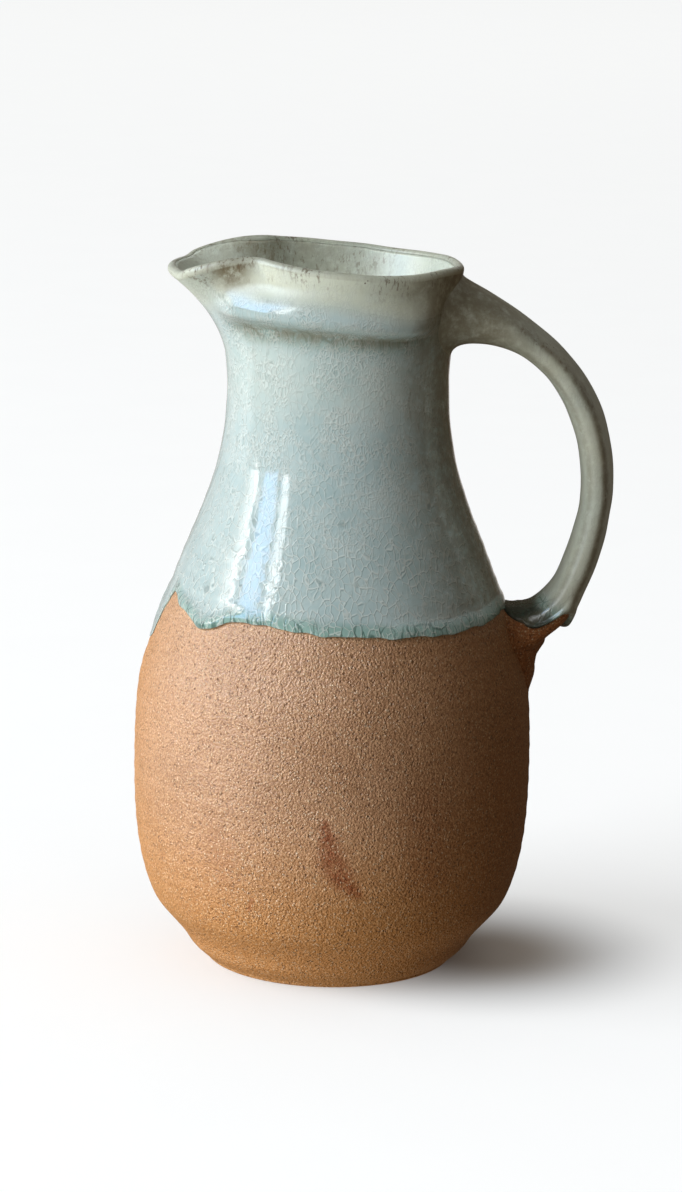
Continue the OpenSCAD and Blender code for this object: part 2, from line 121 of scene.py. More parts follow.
# Glaze
GLAZE_T, LINER_T, ROLL_T = 0.8, 0.6, 0.9
GLAZE_LINE_H, RUN_DROP = 137.0, 12.0
SUNK = 0.5


def lerp(a, b, t):
    return a + (b - a) * t


def smooth(a, b, x):
    """A soft step from 0 at a to 1 at b."""
    t = np.clip((x - a) / (b - a), 0.0, 1.0)
    return t * t * (3.0 - 2.0 * t)


def span(rise, fall, x):
    """A soft step up over one range of x and down again over another."""
    return smooth(*rise, x) * (1 - smooth(*fall, x))


def bell(x, middle, width):
    return np.exp(-(((x - middle) / width) ** 2))


def wrap(angle):
    return (angle + 180.0) % 360.0 - 180.0


def cos_sin(angle):
    a = np.radians(angle)
    return np.cos(a), np.sin(a)


def near(angle, middle, width):
    """A bell round an angle in degrees."""
    return bell(wrap(angle - middle), 0, width)


def most(*parts):
    """The largest of several values, point by point."""
    return np.max(np.broadcast_arrays(*parts), axis=0)


def ripple(angle, waves):
    a = np.radians(angle)
    return sum(size * np.sin(turns * a + phase) for size, turns, phase in waves)


def bezier(points, t):
    t = np.asarray(t, float)[..., None]
    p = [np.asarray(point, float) for point in points]
    return (1 - t) ** 3 * p[0] + 3 * (1 - t) ** 2 * t * p[1] + 3 * (1 - t) * t * t * p[2] + t ** 3 * p[3]


def unit(v):
    return v / np.linalg.norm(v, axis=-1, keepdims=True)


def stack(*parts):
    return np.stack(np.broadcast_arrays(*parts), axis=-1)


# Meshes

def new_object(name, data):
    thing = bpy.data.objects.new(name, data)
    bpy.context.scene.collection.objects.link(thing)
    return thing


def grid_object(name, rows, material, looks=None, closed=True):
    """An object from rows of points in millimetres, each of which goes round.

    A closed grid joins its last row to its first; an open one gets a flat cap at both ends.
    """
    points = np.stack(rows, axis=1)
    shape = points.shape[:2]
    index = np.arange(shape[0] * shape[1]).reshape(shape)
    ahead, up = np.roll(index, -1, axis=0), np.roll(index, -1, axis=1)
    corners = np.stack([index, ahead, np.roll(ahead, -1, axis=1), up], axis=-1)
    quads = (corners if closed else corners[:, :-1]).reshape(-1, 4)
    flat = points.reshape(-1, 3) * MM
    p, q, r, s = (flat[quads[:, k]] for k in range(4))
    volume = (np.cross(p, q) * r).sum() + (np.cross(p, r) * s).sum()
    caps = [] if closed else [index[::-1, 0], index[:, -1]]
    faces = quads.tolist() + [cap.tolist() for cap in caps]
    if volume < 0:
        faces = [face[::-1] for face in faces]
    mesh = bpy.data.meshes.new(name)
    mesh.from_pydata(flat, [], faces)
    mesh.polygons.foreach_set("use_smooth", np.ones(len(faces), bool))
    mesh.validate()
    for key, value in (looks or {}).items():
        layer = mesh.attributes.new(key, "FLOAT", "POINT")
        layer.data.foreach_set("value", np.broadcast_to(value, shape).reshape(-1).astype(np.float32))
    mesh.materials.append(material)
    piece = new_object(name, mesh)
    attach(piece, "root")
    return piece


# The body's outline and the small departures of a thrown wall

def outer_profile():
    """Radius and height of the clay's outer face, from the base to the top of the neck."""
    lean = SHOULDER_LEAN * (BELLY_R - NECK_R) / (NECK_H - BELLY_H)
    shoulder = np.array([SHOULDER_R, SHOULDER_H])
    pull = np.array([-lean, 1.0])
    start = np.array([BEVEL_R + BEVEL_LEDGE, BEVEL_H])
    corner = np.radians(np.linspace(0, 90, 9))
    base = stack(BASE_R - BASE_EDGE + BASE_EDGE * np.sin(corner), BASE_EDGE - BASE_EDGE * np.cos(corner))
    bevel_top = np.array([BEVEL_R, BEVEL_H - BEVEL_BREAK])
    bevel = lerp(base[-1], bevel_top, np.linspace(0.04, 1, 26)[:, None])
    belly, neck = [BELLY_R, BELLY_H], [NECK_R, NECK_H]
    foot_pull = [lerp(start[0], BELLY_R, FOOT_CURVE_R), lerp(BEVEL_H, BELLY_H, FOOT_CURVE_H)]
    belly_low = [BELLY_R, lerp(BELLY_H, BEVEL_H, BELLY_CURVE_LOW)]
    belly_high = [BELLY_R, lerp(BELLY_H, SHOULDER_H, BELLY_CURVE_HIGH)]
    shoulder_low = shoulder - pull * SHOULDER_CURVE_LOW * (SHOULDER_H - BELLY_H)
    shoulder_high = shoulder + pull * SHOULDER_CURVE_HIGH * (NECK_H - SHOULDER_H)
    neck_low = [NECK_R, lerp(NECK_H, SHOULDER_H, NECK_CURVE)]
    lower = bezier([start, foot_pull, belly_low, belly], np.linspace(0, 1, 80))
    crown = bezier([belly, belly_high, shoulder_low, shoulder], np.linspace(0, 1, 90)[1:])
    hollow = bezier([shoulder, shoulder_high, neck_low, neck], np.linspace(0, 1, 90)[1:])
    top = np.array([[NECK_R, NECK_H + NECK_SPARE]])
    return softened(np.vstack([base, bevel, lower, crown, hollow, top]))


def softened(profile):
    """The same outline with worn corners above the base, a fuller foot and a slimmer shoulder."""
    r, z = profile.T
    grid = np.arange(WEAR_LOW, WEAR_HIGH, WEAR_STEP)
    kernel = bell(np.arange(-WEAR_REACH, WEAR_REACH + WEAR_STEP / 2, WEAR_STEP), 0.0, WEAR_W)
    worn = np.convolve(np.interp(np.maximum(grid, BASE_EDGE), z, r), kernel / kernel.sum(), mode="same")
    soft_r = lerp(r, np.interp(z, grid, worn), span(*WEAR_SPAN, z))
    swell = SWELL_OUT * bell(z, SWELL_H, SWELL_W) * smooth(*SWELL_RISE, z)
    return stack(soft_r + swell - SLIM_IN * bell(z, SLIM_H, SLIM_W), z)


PROFILE = outer_profile()


def body_r(z):
    return np.interp(z, PROFILE[:, 1], PROFILE[:, 0])


def body_normal(z):
    """Radial and upward parts of the body's outward direction."""
    slope = (body_r(z + SLOPE_STEP) - body_r(z - SLOPE_STEP)) / (2 * SLOPE_STEP)
    size = np.sqrt(1 + slope * slope)
    return 1 / size, -slope / size


def groove(angle, z, grooves):
    a = np.radians(angle)
    return sum(depth * np.sin(math.tau * z / spacing + turns * a + phase)
               for depth, spacing, turns, phase in grooves)


def thrown(angle, z):
    """How far the thrown wall departs from a true round, by angle in degrees and height."""
    oval = ripple(angle, OVAL_WAVES) * span(*OVAL_SPAN, z)
    rings = groove(angle, z, RING_GROOVES) * span(*RING_SPAN, z)
    return oval + rings + groove(angle, z, TRIM_GROOVES) * bell(z, TRIM_H, TRIM_W)


def around(radius, angle, z):
    cos_a, sin_a = cos_sin(angle)
    return stack(radius * cos_a, radius * sin_a, z)


def joint_z(x):
    """Height of the tilted joint between neck and collar."""
    return JOINT_H - x * COLLAR_SLOPE


def on_body(angle, z, out):
    """A point that stands off the body's clay by out."""
    flat, up = body_normal(z)
    clay_r = body_r(z) + thrown(angle, z) + neck_pull(angle, z)
    return around(clay_r + out * flat, angle, z + out * up)


# The collar: a is the angle from the spout's middle, f its size, and v runs from joint (0) to rim (1)

SPOUT_BASE = joint_z(-NECK_R) - PULL_START


def spout_share(f, v):
    """Share of the spout's reach; its sides are steep at the rim and fade into the neck below."""
    high = np.clip(v, 0, 1) ** 2
    sides = 1 - smooth(SPOUT_FLAT_ANGLE * high, lerp(SPOUT_LOW_ANGLE, SPOUT_ANGLE, high), f)
    return sides * (1 - SPOUT_POINT * (f / SPOUT_ANGLE) ** 2)


def rim_h(f):
    """Height of the rim above the joint."""
    dip = SPOUT_DROP * (1 - smooth(*SPOUT_DIP, f))
    swells = sum(size * bell(f, middle, width) for size, middle, width in RIM_SWELLS)
    return COLLAR_H - dip + swells + sum(size * smooth(*angles, f) for size, angles in RIM_RISES)


def neck_pull(angle, z):
    """How far the spout's pull bends the neck below the joint outwards."""
    f = np.abs(wrap(angle - 180))
    rise = np.clip((z - PULL_START) / (SPOUT_BASE + rim_h(f)), 0, 1)
    return SPOUT_REACH * spout_share(f, 0.0) * rise ** PULL_POWER


def crest_h(f):
    """Height of the ledge's crest above the joint."""
    dip = LEDGE_DIP * (1 - smooth(*LEDGE_DIP_ANGLES, f))
    return LEDGE_H - dip + LEDGE_LIFT * smooth(*LEDGE_LIFT_ANGLES, f)


def ledge_share(f):
    return smooth(*LEDGE_FROM_HANDLE, 180 - f) * smooth(*LEDGE_FROM_SPOUT, f)


def ledge_form(f, v):
    """Section of the ledge: a steep underside, a narrow crest and a long fall above it."""
    above = v * rim_h(f) - crest_h(f)
    fall = np.minimum(LEDGE_FALL, rim_h(f) - crest_h(f) - CREST_TO_RIM)
    return span((-LEDGE_RISE, -CREST_BELOW), (CREST_ABOVE, np.maximum(fall, LEDGE_FALL_MIN)), above)


def collar_r(f, v, ledge):
    pinch = THROAT_PINCH * bell(f, SPOUT_ANGLE, THROAT_SPREAD)
    flare = (RIM_R - pinch - NECK_R) * np.clip(v, 0, None) ** FLARE_POWER
    rise = (SPOUT_BASE + rim_h(f) * v) / (SPOUT_BASE + rim_h(f))
    pull = SPOUT_REACH * spout_share(f, v) * rise ** PULL_POWER
    return NECK_R + flare + pull + ledge * ledge_share(f) * ledge_form(f, v)


def collar_point(a, v, ledge):
    f = np.abs(wrap(a))
    x, y, _ = np.moveaxis(around(collar_r(f, v, ledge), a + 180.0, 0.0), -1, 0)
    return stack(x, y, joint_z(x) + (rim_h(f) + ripple(a, RIM_WAVES)) * v)


def collar_up(a, v, ledge):
    return unit(collar_point(a, v + V_STEP, ledge) - collar_point(a, v - V_STEP, ledge))


def collar_normal(a, v, ledge):
    round_it = collar_point(a + ANGLE_STEP, v, ledge) - collar_point(a - ANGLE_STEP, v, ledge)
    return unit(np.cross(round_it, collar_up(a, v, ledge)))


def collar_skin(a, v, out):
    """A point that stands off the collar's outer clay by out."""
    return collar_point(a, v, LEDGE_OUT) + out * collar_normal(a, v, LEDGE_OUT)


def collar_lining(a, v, out):
    """A point that stands off the collar's inner clay by out, towards the axis."""
    return collar_point(a, v, 0.0) - (lerp(WALL_T, RIM_T, v) + out) * collar_normal(a, v, 0.0)


def collar_edge(a, turn, out):
    """A point on the rounded rim, turn degrees from its outer side."""
    normal, up = collar_normal(a, 1.0, 0.0), collar_up(a, 1.0, 0.0)
    middle = collar_point(a, 1.0, 0.0) - normal * RIM_T / 2
    t = math.radians(turn)
    return middle + (RIM_T / 2 + out) * (normal * math.cos(t) + up * math.sin(t))


# Clay of body and collar

# Looks of the bare clay, by angle from the camera's side and by height
FLASH_ANGLE, FLASH_SPREAD, FLASH_FADE = -92, 24, (110, 150)
FOOT_FLASH, FOOT_FLASH_H, FOOT_FLASH_W = 0.8, 12, 11
OCHRE_FADE = (22, 85)
# Painted shade: a darker, richer brown on the side away from the window, less of it higher up
PAINTED_SHADE_SPAN, PAINTED_SHADE_THIN, PAINTED_SHADE_THIN_H = ((12, 72), (125, 170)), 0.5, (70, 115)
# Smears that the flame left: depth, and a path of places round the belly, heights and half widths
SMEARS = [
    (1.0, [(-2.0, 71.0, 1.2), (-0.6, 64.0, 3.0), (0.8, 57.0, 4.4), (4.6, 50.0, 4.0), (10.4, 43.5, 1.8)]),
    (0.8, [(-31.0, 35.0, 0.8), (-29.6, 39.0, 0.8)]),
    (0.2, [(-44.0, 60.0, 6.0), (-40.0, 46.0, 5.0)]),
    (0.3, [(36.0, 74.0, 9.0), (38.0, 50.0, 9.0)])]
SMEAR_EDGE = (0.1, 1.9)


def smear(x, z, path):
    """How deep a smear along the path is, at places x round the belly and heights z."""
    value = np.zeros_like(z)
    for (x0, z0, w0), (x1, z1, w1) in zip(path, path[1:]):
        length_2 = (x1 - x0) ** 2 + (z1 - z0) ** 2
        along = np.clip(((x - x0) * (x1 - x0) + (z - z0) * (z1 - z0)) / length_2, 0, 1)
        away = np.hypot(x - lerp(x0, x1, along), z - lerp(z0, z1, along)) / lerp(w0, w1, along)
        value = np.maximum(value, 1 - smooth(*SMEAR_EDGE, away))
    return value


def inner_rows(angle, out):
    """Rows of the inner face from the neck down to the floor, out nearer to the axis."""
    high = np.linspace(STRAIGHT_H, BELLY_H, 60)
    flat, up = body_normal(high)
    wall = stack(body_r(high) - (WALL_T + out) * flat, high - (WALL_T + out) * up)
    r, z = BELLY_R - WALL_T - out, FLOOR_T + out
    curve = [[r, BELLY_H], [r, lerp(BELLY_H, z, FLOOR_CURVE_H)],
             [lerp(r, r * FLOOR_FLAT, FLOOR_CURVE_R), z], [r * FLOOR_FLAT, z]]
    floor = bezier(curve, np.linspace(0, 1, 40)[1:])
    return [around(r, angle, z) for r, z in np.vstack([wall, floor, [[AXIS_R, z]]])]


def neck_rows(angle, radius, count):
    """Rows of the straight neck from the turned body up to the tilted joint."""
    top = joint_z(radius * np.cos(np.radians(angle)))
    heights = [lerp(STRAIGHT_H, top, share) for share in np.linspace(0, 1, count + 1)[1:]]
    return [around(radius + neck_pull(angle, z), angle, z) for z in heights]


def make_clay_body(material):
    angle = np.arange(0, 360, 1.0)
    rows = [around(AXIS_R, angle, 0.0)]
    rows += [around(r, angle, 0.0) for r in np.linspace(8, BASE_R - BASE_EDGE - 1, 8)]
    rows += [around(r + thrown(angle, z), angle, z) for r, z in PROFILE if z < STRAIGHT_H]
    rows += neck_rows(angle, NECK_R, 12)
    rows += neck_rows(angle, NECK_R - WALL_T, 4)[::-1]
    rows += inner_rows(angle, 0.0)
    z = np.stack(rows, axis=1)[..., 2]
    phi = wrap(angle + 90)[:, None]
    side_flash = bell(phi, FLASH_ANGLE, FLASH_SPREAD) * (1 - smooth(*FLASH_FADE, z))
    foot_flash = FOOT_FLASH * bell(z, FOOT_FLASH_H, FOOT_FLASH_W)
    place = np.radians(phi) * BELLY_R
    looks = {"flash": np.clip(side_flash + foot_flash, 0, 1),
             "burn": most(*(depth * smear(place, z, path) for depth, path in SMEARS)),
             "ochre": 1 - smooth(*OCHRE_FADE, z),
             # painted shade on the side away from the window
             "painted_shade_side": span(*PAINTED_SHADE_SPAN, phi) * (1 - PAINTED_SHADE_THIN * smooth(*PAINTED_SHADE_THIN_H, z))}
    piece = grid_object("clay_body", rows, material, looks, closed=False)
    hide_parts("stoneware_body")
    return piece


def make_collar_clay(material):
    """The collar's own clay, which the coats cover on all sides."""
    a = np.arange(0, 360, 1.5)
    rows = [collar_skin(a, v, 0.0) for v in np.linspace(0.0, 1.0, 40)]
    rows += [collar_edge(a, turn, 0.0) for turn in (45, 90, 135)]
    rows += [collar_lining(a, v, 0.0) for v in np.linspace(1.0, 0.0, 24)]
    piece = grid_object("collar_clay", rows, material)
    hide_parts("pouring_collar")
    return piece


# Coats of glaze

CROWDING = 0.45


def crowded_angles(count):
    """Angles from the spout's middle, crowded there, the same from +X, and the first ones' sizes."""
    u = np.arange(count) * 360.0 / count
    a = u - CROWDING * np.degrees(np.sin(np.radians(u)))
    return a, a + 180.0, np.abs(wrap(a))


class CoatRows:
    """Rows of a coat's grid, each with shares of pooled, warm, stained and rim-like glaze; the pooled and
    stained shares also lay painted shade.
    """

    def __init__(self):
        self.rows, self.looks = [], []

    def add(self, row, pool_and_shade=0.0, warm=0.0, stain_and_shade=0.0, rim=0.0):
        self.rows.append(row)
        self.looks.append([np.broadcast_to(look, row.shape[:-1]) for look in (pool_and_shade, warm, stain_and_shade, rim)])

    def piece(self, name, material, slot, closed=True):
        looks = dict(zip(("pool_and_shade", "warm", "stain_and_shade", "rim"), np.stack(self.looks, axis=-1)))
        return grid_object(name, self.rows, material, looks, closed)


# Coat inside; its stains go by angle from the spout's middle
LINER_WARM, LINER_POOL, LINER_POOL_H, LINER_STAIN = 0.85, 0.4, (40, 10), 0.2
LINER_THROAT, LINER_THROAT_W = 46, 12


def make_liner(material):
    a, angle, f = crowded_angles(360)
    coat = CoatRows()

    def add(row, stain_and_shade=0.0, rim=0.0):
        pool_and_shade = LINER_POOL * smooth(*LINER_POOL_H, row[..., 2])
        coat.add(row, pool_and_shade=pool_and_shade, warm=LINER_WARM, stain_and_shade=stain_and_shade, rim=rim)

    for row in inner_rows(angle, -SUNK)[::-1] + neck_rows(angle, NECK_R - WALL_T + SUNK, 4):
        add(row)
    for v in np.linspace(0.06, 0.98, 16):
        add(collar_lining(a, v, -SUNK))
    throat = bell(f, LINER_THROAT, LINER_THROAT_W)
    for v in np.linspace(1.0, 0.0, 44):
        # Brown stain on the inner wall, raised there also as painted shade where the rim shades it
        side = 0.08 * (1 - smooth(95, 150, f)) + 0.42 * bell(f, 75, 35) * smooth(0.1, 0.9, v)
        add(collar_lining(a, v, LINER_T), stain_and_shade=0.5 * throat * smooth(0.4, 1.0, v) + side,
            rim=0.9 * smooth(0.45, 1.0, v) * (0.35 + 0.65 * bell(f, 70, 45)))
    neck = neck_rows(angle, NECK_R - WALL_T - LINER_T, 8)[:-1]
    for row in neck[::-1] + inner_rows(angle, LINER_T):
        add(row, stain_and_shade=LINER_STAIN)
    piece = coat.piece("liner_coat", material, "liner_glaze", closed=False)
    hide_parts("liner_glaze")
    return piece


# Coat outside

# Runs of its lower edge: angle from +X, drop as a share of RUN_DROP (a rise is negative), half width
RUNS = [(196, -0.40, 10), (222, 0.27, 6.5), (245, -0.17, 14), (256.5, 0.05, 3), (312, 0.17, 34),
        (52, 0.22, 14), (84, -0.12, 9), (112, 0.34, 8), (146, 0.14, 16)]
# The long run under the spout, in the same terms, with a blunter end and thinner glaze
LONG_RUN_ANGLE, LONG_RUN_SHARE, LONG_RUN_W, LONG_RUN_POWER = 183, 1.32, 7.5, 3
LONG_RUN_THIN, LONG_RUN_THIN_W, LONG_RUN_END = 0.45, 10, (10, 24)
EDGE_WAVES = [(0.25, 17, 0.5), (0.18, 29, 2.0), (0.12, 47, 0.0)]
# The rolled edge: height above the lowest point, and share of the full thickness there
BEAD_ROWS = [(1.6, -0.4), (0.75, -0.2), (0.42, 0.10), (0.16, 0.34), (0.02, 0.55), (0.0, 0.68),
             (0.10, 0.80), (0.32, 0.90), (0.7, 0.96)]
BEAD_ROWS += [(above, 1.0) for above in (1.2, 1.8, 2.5, 3.2, 4.0, 4.8)]
# The roll: its height and half width, its even share and waves, and where it is heavy
ROLL_H, ROLL_W, ROLL_SHARE, ROLL_WAVES = 2.0, 2.6, 0.75, [(0.25, 5, 1.2), (0.18, 11, 0.4)]
HEAVY_ROLL, HEAVY_ANGLE, HEAVY_W = 0.8, 218, 9
COAT_GROOVES = [(0.06, math.tau * 2.9, 3, 0.0)]
# Craze lines that have taken stain, below the collar on the camera's right: angle, lower and upper height
CRAZE_LINES = [(-50.5, 208.0, 224.0), (-44.0, 203.0, 226.0), (-39.5, 212.0, 225.0)]
CRAZE_STAIN, CRAZE_W, CRAZE_END, CRAZE_SWAY, CRAZE_SWAY_RUN = 0.6, 0.7, 3, 0.5, 1.7
CROSS_STAIN, CROSS_H, CROSS_T, CROSS_ANGLE, CROSS_W = 0.4, 221.5, 0.8, -47, 6
# Throat beside the spout, and the side away from the window where painted shade is laid in the rust colour,
# by angle from the spout's middle
THROAT_ANGLE, THROAT_W, SHADED_ANGLES, PAINTED_SHADE_SHARE = 39, 7, (102, 152), 0.6
COAT_COLUMNS = 720


def edge_z(angle):
    """Height of the glaze's lower edge."""
    drop = sum(share * near(angle, middle, width) for middle, share, width in RUNS)
    away = np.abs(wrap(angle - LONG_RUN_ANGLE) / LONG_RUN_W)
    drop = drop + LONG_RUN_SHARE * np.exp(-away ** LONG_RUN_POWER)
    return GLAZE_LINE_H - RUN_DROP * drop + ripple(angle, EDGE_WAVES)


def coat_thickness(angle, above):
    """Thickness of the glaze at a height above its lower edge."""
    run = near(angle, LONG_RUN_ANGLE, LONG_RUN_THIN_W)
    heavy = HEAVY_ROLL * near(angle, HEAVY_ANGLE, HEAVY_W)
    roll = ROLL_T * (ROLL_SHARE + ripple(angle, ROLL_WAVES) + heavy) * bell(above, ROLL_H, ROLL_W)
    roll = roll * (1 - 0.8 * run) * (1 - 0.7 * near(angle, 0, 30))
    thin = 1 - LONG_RUN_THIN * run * (1 - smooth(*LONG_RUN_END, above))
    return GLAZE_T * thin + roll + groove(angle, above, COAT_GROOVES)


def body_pool(angle, above):
    """Share of pooled glaze, which lies in the roll but not in the long run and less at the handle."""
    rolled = 1 - smooth(1.8, 6.0, above)
    return rolled * (1 - 0.95 * near(angle, LONG_RUN_ANGLE, 11)) * (1 - 0.55 * near(angle, 0, 40))


def crazing(angle, z):
    """Stain in the craze lines and in one that crosses them."""
    stains = [CROSS_STAIN * bell(z, CROSS_H, CROSS_T) * near(angle, CROSS_ANGLE, CROSS_W)]
    for middle, low, high in CRAZE_LINES:
        bent = wrap(angle - middle) + CRAZE_SWAY * np.sin(z / CRAZE_SWAY_RUN + middle)
        ends = span((low, low + CRAZE_END), (high - CRAZE_END, high), z)
        stains.append(CRAZE_STAIN * bell(bent, 0, CRAZE_W) * ends)
    return most(*stains)


def collar_looks(f, v):
    """Looks of the glaze on the collar: buff where it is thin, with painted shade under the ledge and on the
    side away from the window.
    """
    above = v * rim_h(f) - crest_h(f)
    throat = bell(f, THROAT_ANGLE, THROAT_W)
    # Painted shade in the hollow under the ledge, laid in the pooled and the rust colour, which together give
    # grey
    hollow = bell(above, -LEDGE_RISE, 4.0) * ledge_share(f)
    thin = smooth(1.0, 9.0, above + 3 * smooth(85, 130, f)) * smooth(22, 36, f)
    lip = spout_share(f, v) * smooth(0.45, 0.85, v) * (1 - smooth(30, 44, f))
    foot = 1 - smooth(0.1, 0.5, v)
    # Painted shade in the rust colour on the side away from the window, stronger towards the rim
    shaded = lerp(PAINTED_SHADE_SHARE, 0.85, v) * smooth(*SHADED_ANGLES, f)
    # The pool and stain shares both carry the painted shade under the ledge
    return {"pool_and_shade": 0.6 * hollow,
            "warm": most(thin, 0.85 * lip, 0.2 * foot, 0.9 * throat * smooth(0.55, 0.8, v)),
            "stain_and_shade": most(1.1 * throat * smooth(0.60, 0.95, v), 0.7 * hollow, shaded),
            "rim": 0.9 * smooth(0.72, 1.0, v)}


def make_coat(material):
    a, angle, f = crowded_angles(COAT_COLUMNS)
    edge, top = edge_z(angle), joint_z(NECK_R * np.cos(np.radians(angle)))
    coat = CoatRows()
    for above, share in BEAD_ROWS:
        out = share * coat_thickness(angle, above)
        coat.add(on_body(angle, edge + above, out), pool_and_shade=body_pool(angle, above))
    for share in np.linspace(0, 1, 110)[1:-1]:
        z = lerp(edge + BEAD_ROWS[-1][0], top, share)
        above = z - edge
        # Painted shade in the rust colour on the side away from the window, and real stain in the craze lines
        stain_and_shade = most(PAINTED_SHADE_SHARE * smooth(*SHADED_ANGLES, f), crazing(angle, z))
        coat.add(on_body(angle, z, coat_thickness(angle, above)), pool_and_shade=body_pool(angle, above),
                 warm=0.20 * bell(z, 224, 14), stain_and_shade=stain_and_shade)
    for v in np.linspace(0.0, 1.0, 80)[:-1]:
        coat.add(collar_skin(a, v, GLAZE_T), **collar_looks(f, v))
    rim_stain = 0.2 + 0.4 * bell(f, THROAT_ANGLE, THROAT_W)
    for turn in np.linspace(0, 180, 17):
        out = lerp(GLAZE_T, LINER_T, turn / 180)
        coat.add(collar_edge(a, turn, out), warm=1.0, stain_and_shade=rim_stain, rim=1.0)
    for turn in (150, 90, 45):
        coat.add(collar_edge(a, turn, -SUNK))
    for v in np.linspace(1.0, 0.0, 20):
        coat.add(collar_skin(a, v, -SUNK))
    for share in np.linspace(1, 0, 26)[1:-1]:
        coat.add(on_body(angle, lerp(edge + 3.0, top, share), -SUNK))
    piece = coat.piece("outer_coat", material, "outer_glaze")
    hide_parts("shoulder_glaze", "collar_glaze")
    return piece


# Handle

TOP_FALL = HANDLE_TOP_H - HANDLE_OUT_H
TOP_V = (HANDLE_TOP_H - joint_z(RIM_R)) / COLLAR_H
STRAP_START = np.array([collar_r(180.0, TOP_V, 0.0) + ROOT_LIFT, HANDLE_TOP_H])
STRAP_END = np.array([body_r(HANDLE_BOTTOM_H), HANDLE_BOTTOM_H])
STRAP_OUT = [HANDLE_OUT_R, HANDLE_OUT_H]
STRAP_UPPER = [
    STRAP_START,
    [lerp(STRAP_START[0], HANDLE_OUT_R, TOP_CURVE_R), HANDLE_TOP_H - TOP_FALL * TOP_CURVE_H],
    [HANDLE_OUT_R, HANDLE_OUT_H + TOP_FALL * OUT_CURVE_UP],
    STRAP_OUT]
STRAP_LOWER = [
    STRAP_OUT,
    [HANDLE_OUT_R, lerp(HANDLE_OUT_H, HANDLE_BOTTOM_H, OUT_CURVE_DOWN)],
    [lerp(STRAP_END[0], HANDLE_OUT_R, BOTTOM_CURVE_R), HANDLE_BOTTOM_H - HEEL_DROP],
    STRAP_END]
STRAP_B = np.arange(STRAP_SIDES) * 360.0 / STRAP_SIDES


def strap_line(s):
    upper = bezier(STRAP_UPPER, np.clip(s, 0, 1))
    lower = bezier(STRAP_LOWER, np.clip(s - 1, 0, 1))
    return np.where((s < 1)[..., None], upper, lower)


def strap_way(s):
    return unit(strap_line(np.minimum(s + S_STEP, 2.0)) - strap_line(np.maximum(s - S_STEP, 0.0)))


def squarish(x):
    """A sine or cosine, changed to go round a squarer outline."""
    return np.sign(x) * np.abs(x) ** STRAP_SQUARE


def strap_point(s, b, out):
    """A point that stands off the strap's clay by out."""
    s = np.broadcast_to(np.asarray(s, float), b.shape)
    cos_b, sin_b = cos_sin(b)
    way, c = strap_way(s), strap_line(s)
    root = np.clip(1 - s / ROOT_RUN, 0, 1) ** 2
    heel = smooth(*HEEL_RUN, s)
    half_t = (STRAP_T + (ROOT_H - STRAP_T) * root + (HEEL_T - STRAP_T) * heel) / 2
    half_w = (STRAP_W + (ROOT_W - STRAP_W) * root + (HEEL_W - STRAP_W) * heel) / 2
    ridge = STRAP_RIDGE * (1 - root) * (1 - heel) * bell(sin_b, 0, RIDGE_W) * (cos_b > 0)
    lump = groove(b, s, STRAP_LUMPS)
    crook = CROOK_FILL * smooth(*CROOK_RUN, s) * np.minimum(cos_b, 0)
    hollow = HEEL_HOLLOW * bell(s, HEEL_HOLLOW_S, HEEL_HOLLOW_W) * np.maximum(cos_b, 0)
    n = (half_t + out) * squarish(cos_b) + ridge + lump * cos_b + crook - hollow
    w = (half_w + out + lump) * squarish(sin_b)
    return stack(c[..., 0] - n * way[..., 1], w, c[..., 1] + n * way[..., 0])


def seat_on_collar(ring, out):
    """The ring's points moved along X to stand off the collar's outer face by out."""
    y, z = ring[..., 1], ring[..., 2]
    x = np.full_like(y, RIM_R)
    for _ in range(5):
        f = 180 - np.abs(np.degrees(np.arctan2(y, x)))
        v = np.clip((z - joint_z(x)) / rim_h(f), 0, 1)
        x = np.sqrt((collar_r(f, v, LEDGE_OUT) + out) ** 2 - y * y)
    return stack(x, y, z)


def seat_on_body(ring, out):
    """The ring's points moved along X to stand off the body by out."""
    y, z = ring[..., 1], ring[..., 2]
    r = body_r(z) + out
    return stack(np.sqrt(np.maximum(r * r - y * y, 1.0)), y, z)


def spread(ring, b, middle_z, even, sides, outer, inner):
    """The ring widened to a fillet's foot, by so much all round and more or less on its sides."""
    cos_b, sin_b = cos_sin(b)
    amount = even + sides * np.abs(sin_b) + outer * np.clip(cos_b, 0, 1) + inner * np.clip(-cos_b, 0, 1)
    x, y, z = np.moveaxis(ring, -1, 0)
    grown = 1 + amount / np.hypot(y, z - middle_z)
    return stack(x, y * grown, middle_z + (z - middle_z) * grown)


def fillet(foot, corner, start, way, t):
    """Points of a hollow fillet, t from 0 at its foot on a wall to 1 on the strap."""
    reach = np.linalg.norm(start - corner, axis=-1, keepdims=True)
    pulls = [lerp(foot, corner, FILLET_HOLLOW), start - way * reach * FILLET_LEAD]
    return bezier([foot, *pulls, start], np.broadcast_to(t, len(foot)))


def upper_fillet(b, out, t):
    ring = strap_point(0.0, b, out)
    foot = seat_on_collar(spread(ring, b, HANDLE_TOP_H, *UPPER_FILLET), GLAZE_T - UPPER_FOOT_SUNK)
    start = strap_point(UPPER_FILLET_S, b, out)
    way = unit(strap_point(UPPER_FILLET_S + 2 * S_STEP, b, out) - start)
    return fillet(foot, seat_on_collar(ring, GLAZE_T), start, way, t)


def lower_fillet(b, out, foot_out, t):
    ring = strap_point(2.0, b, out)
    foot = seat_on_body(spread(ring, b, HANDLE_BOTTOM_H, *LOWER_FILLET), foot_out)
    way = strap_way(np.full(b.shape, LOWER_FILLET_S))
    upward = stack(-way[..., 0], 0.0, -way[..., 1])
    return fillet(foot, seat_on_body(ring, out), strap_point(LOWER_FILLET_S, b, out), upward, t)


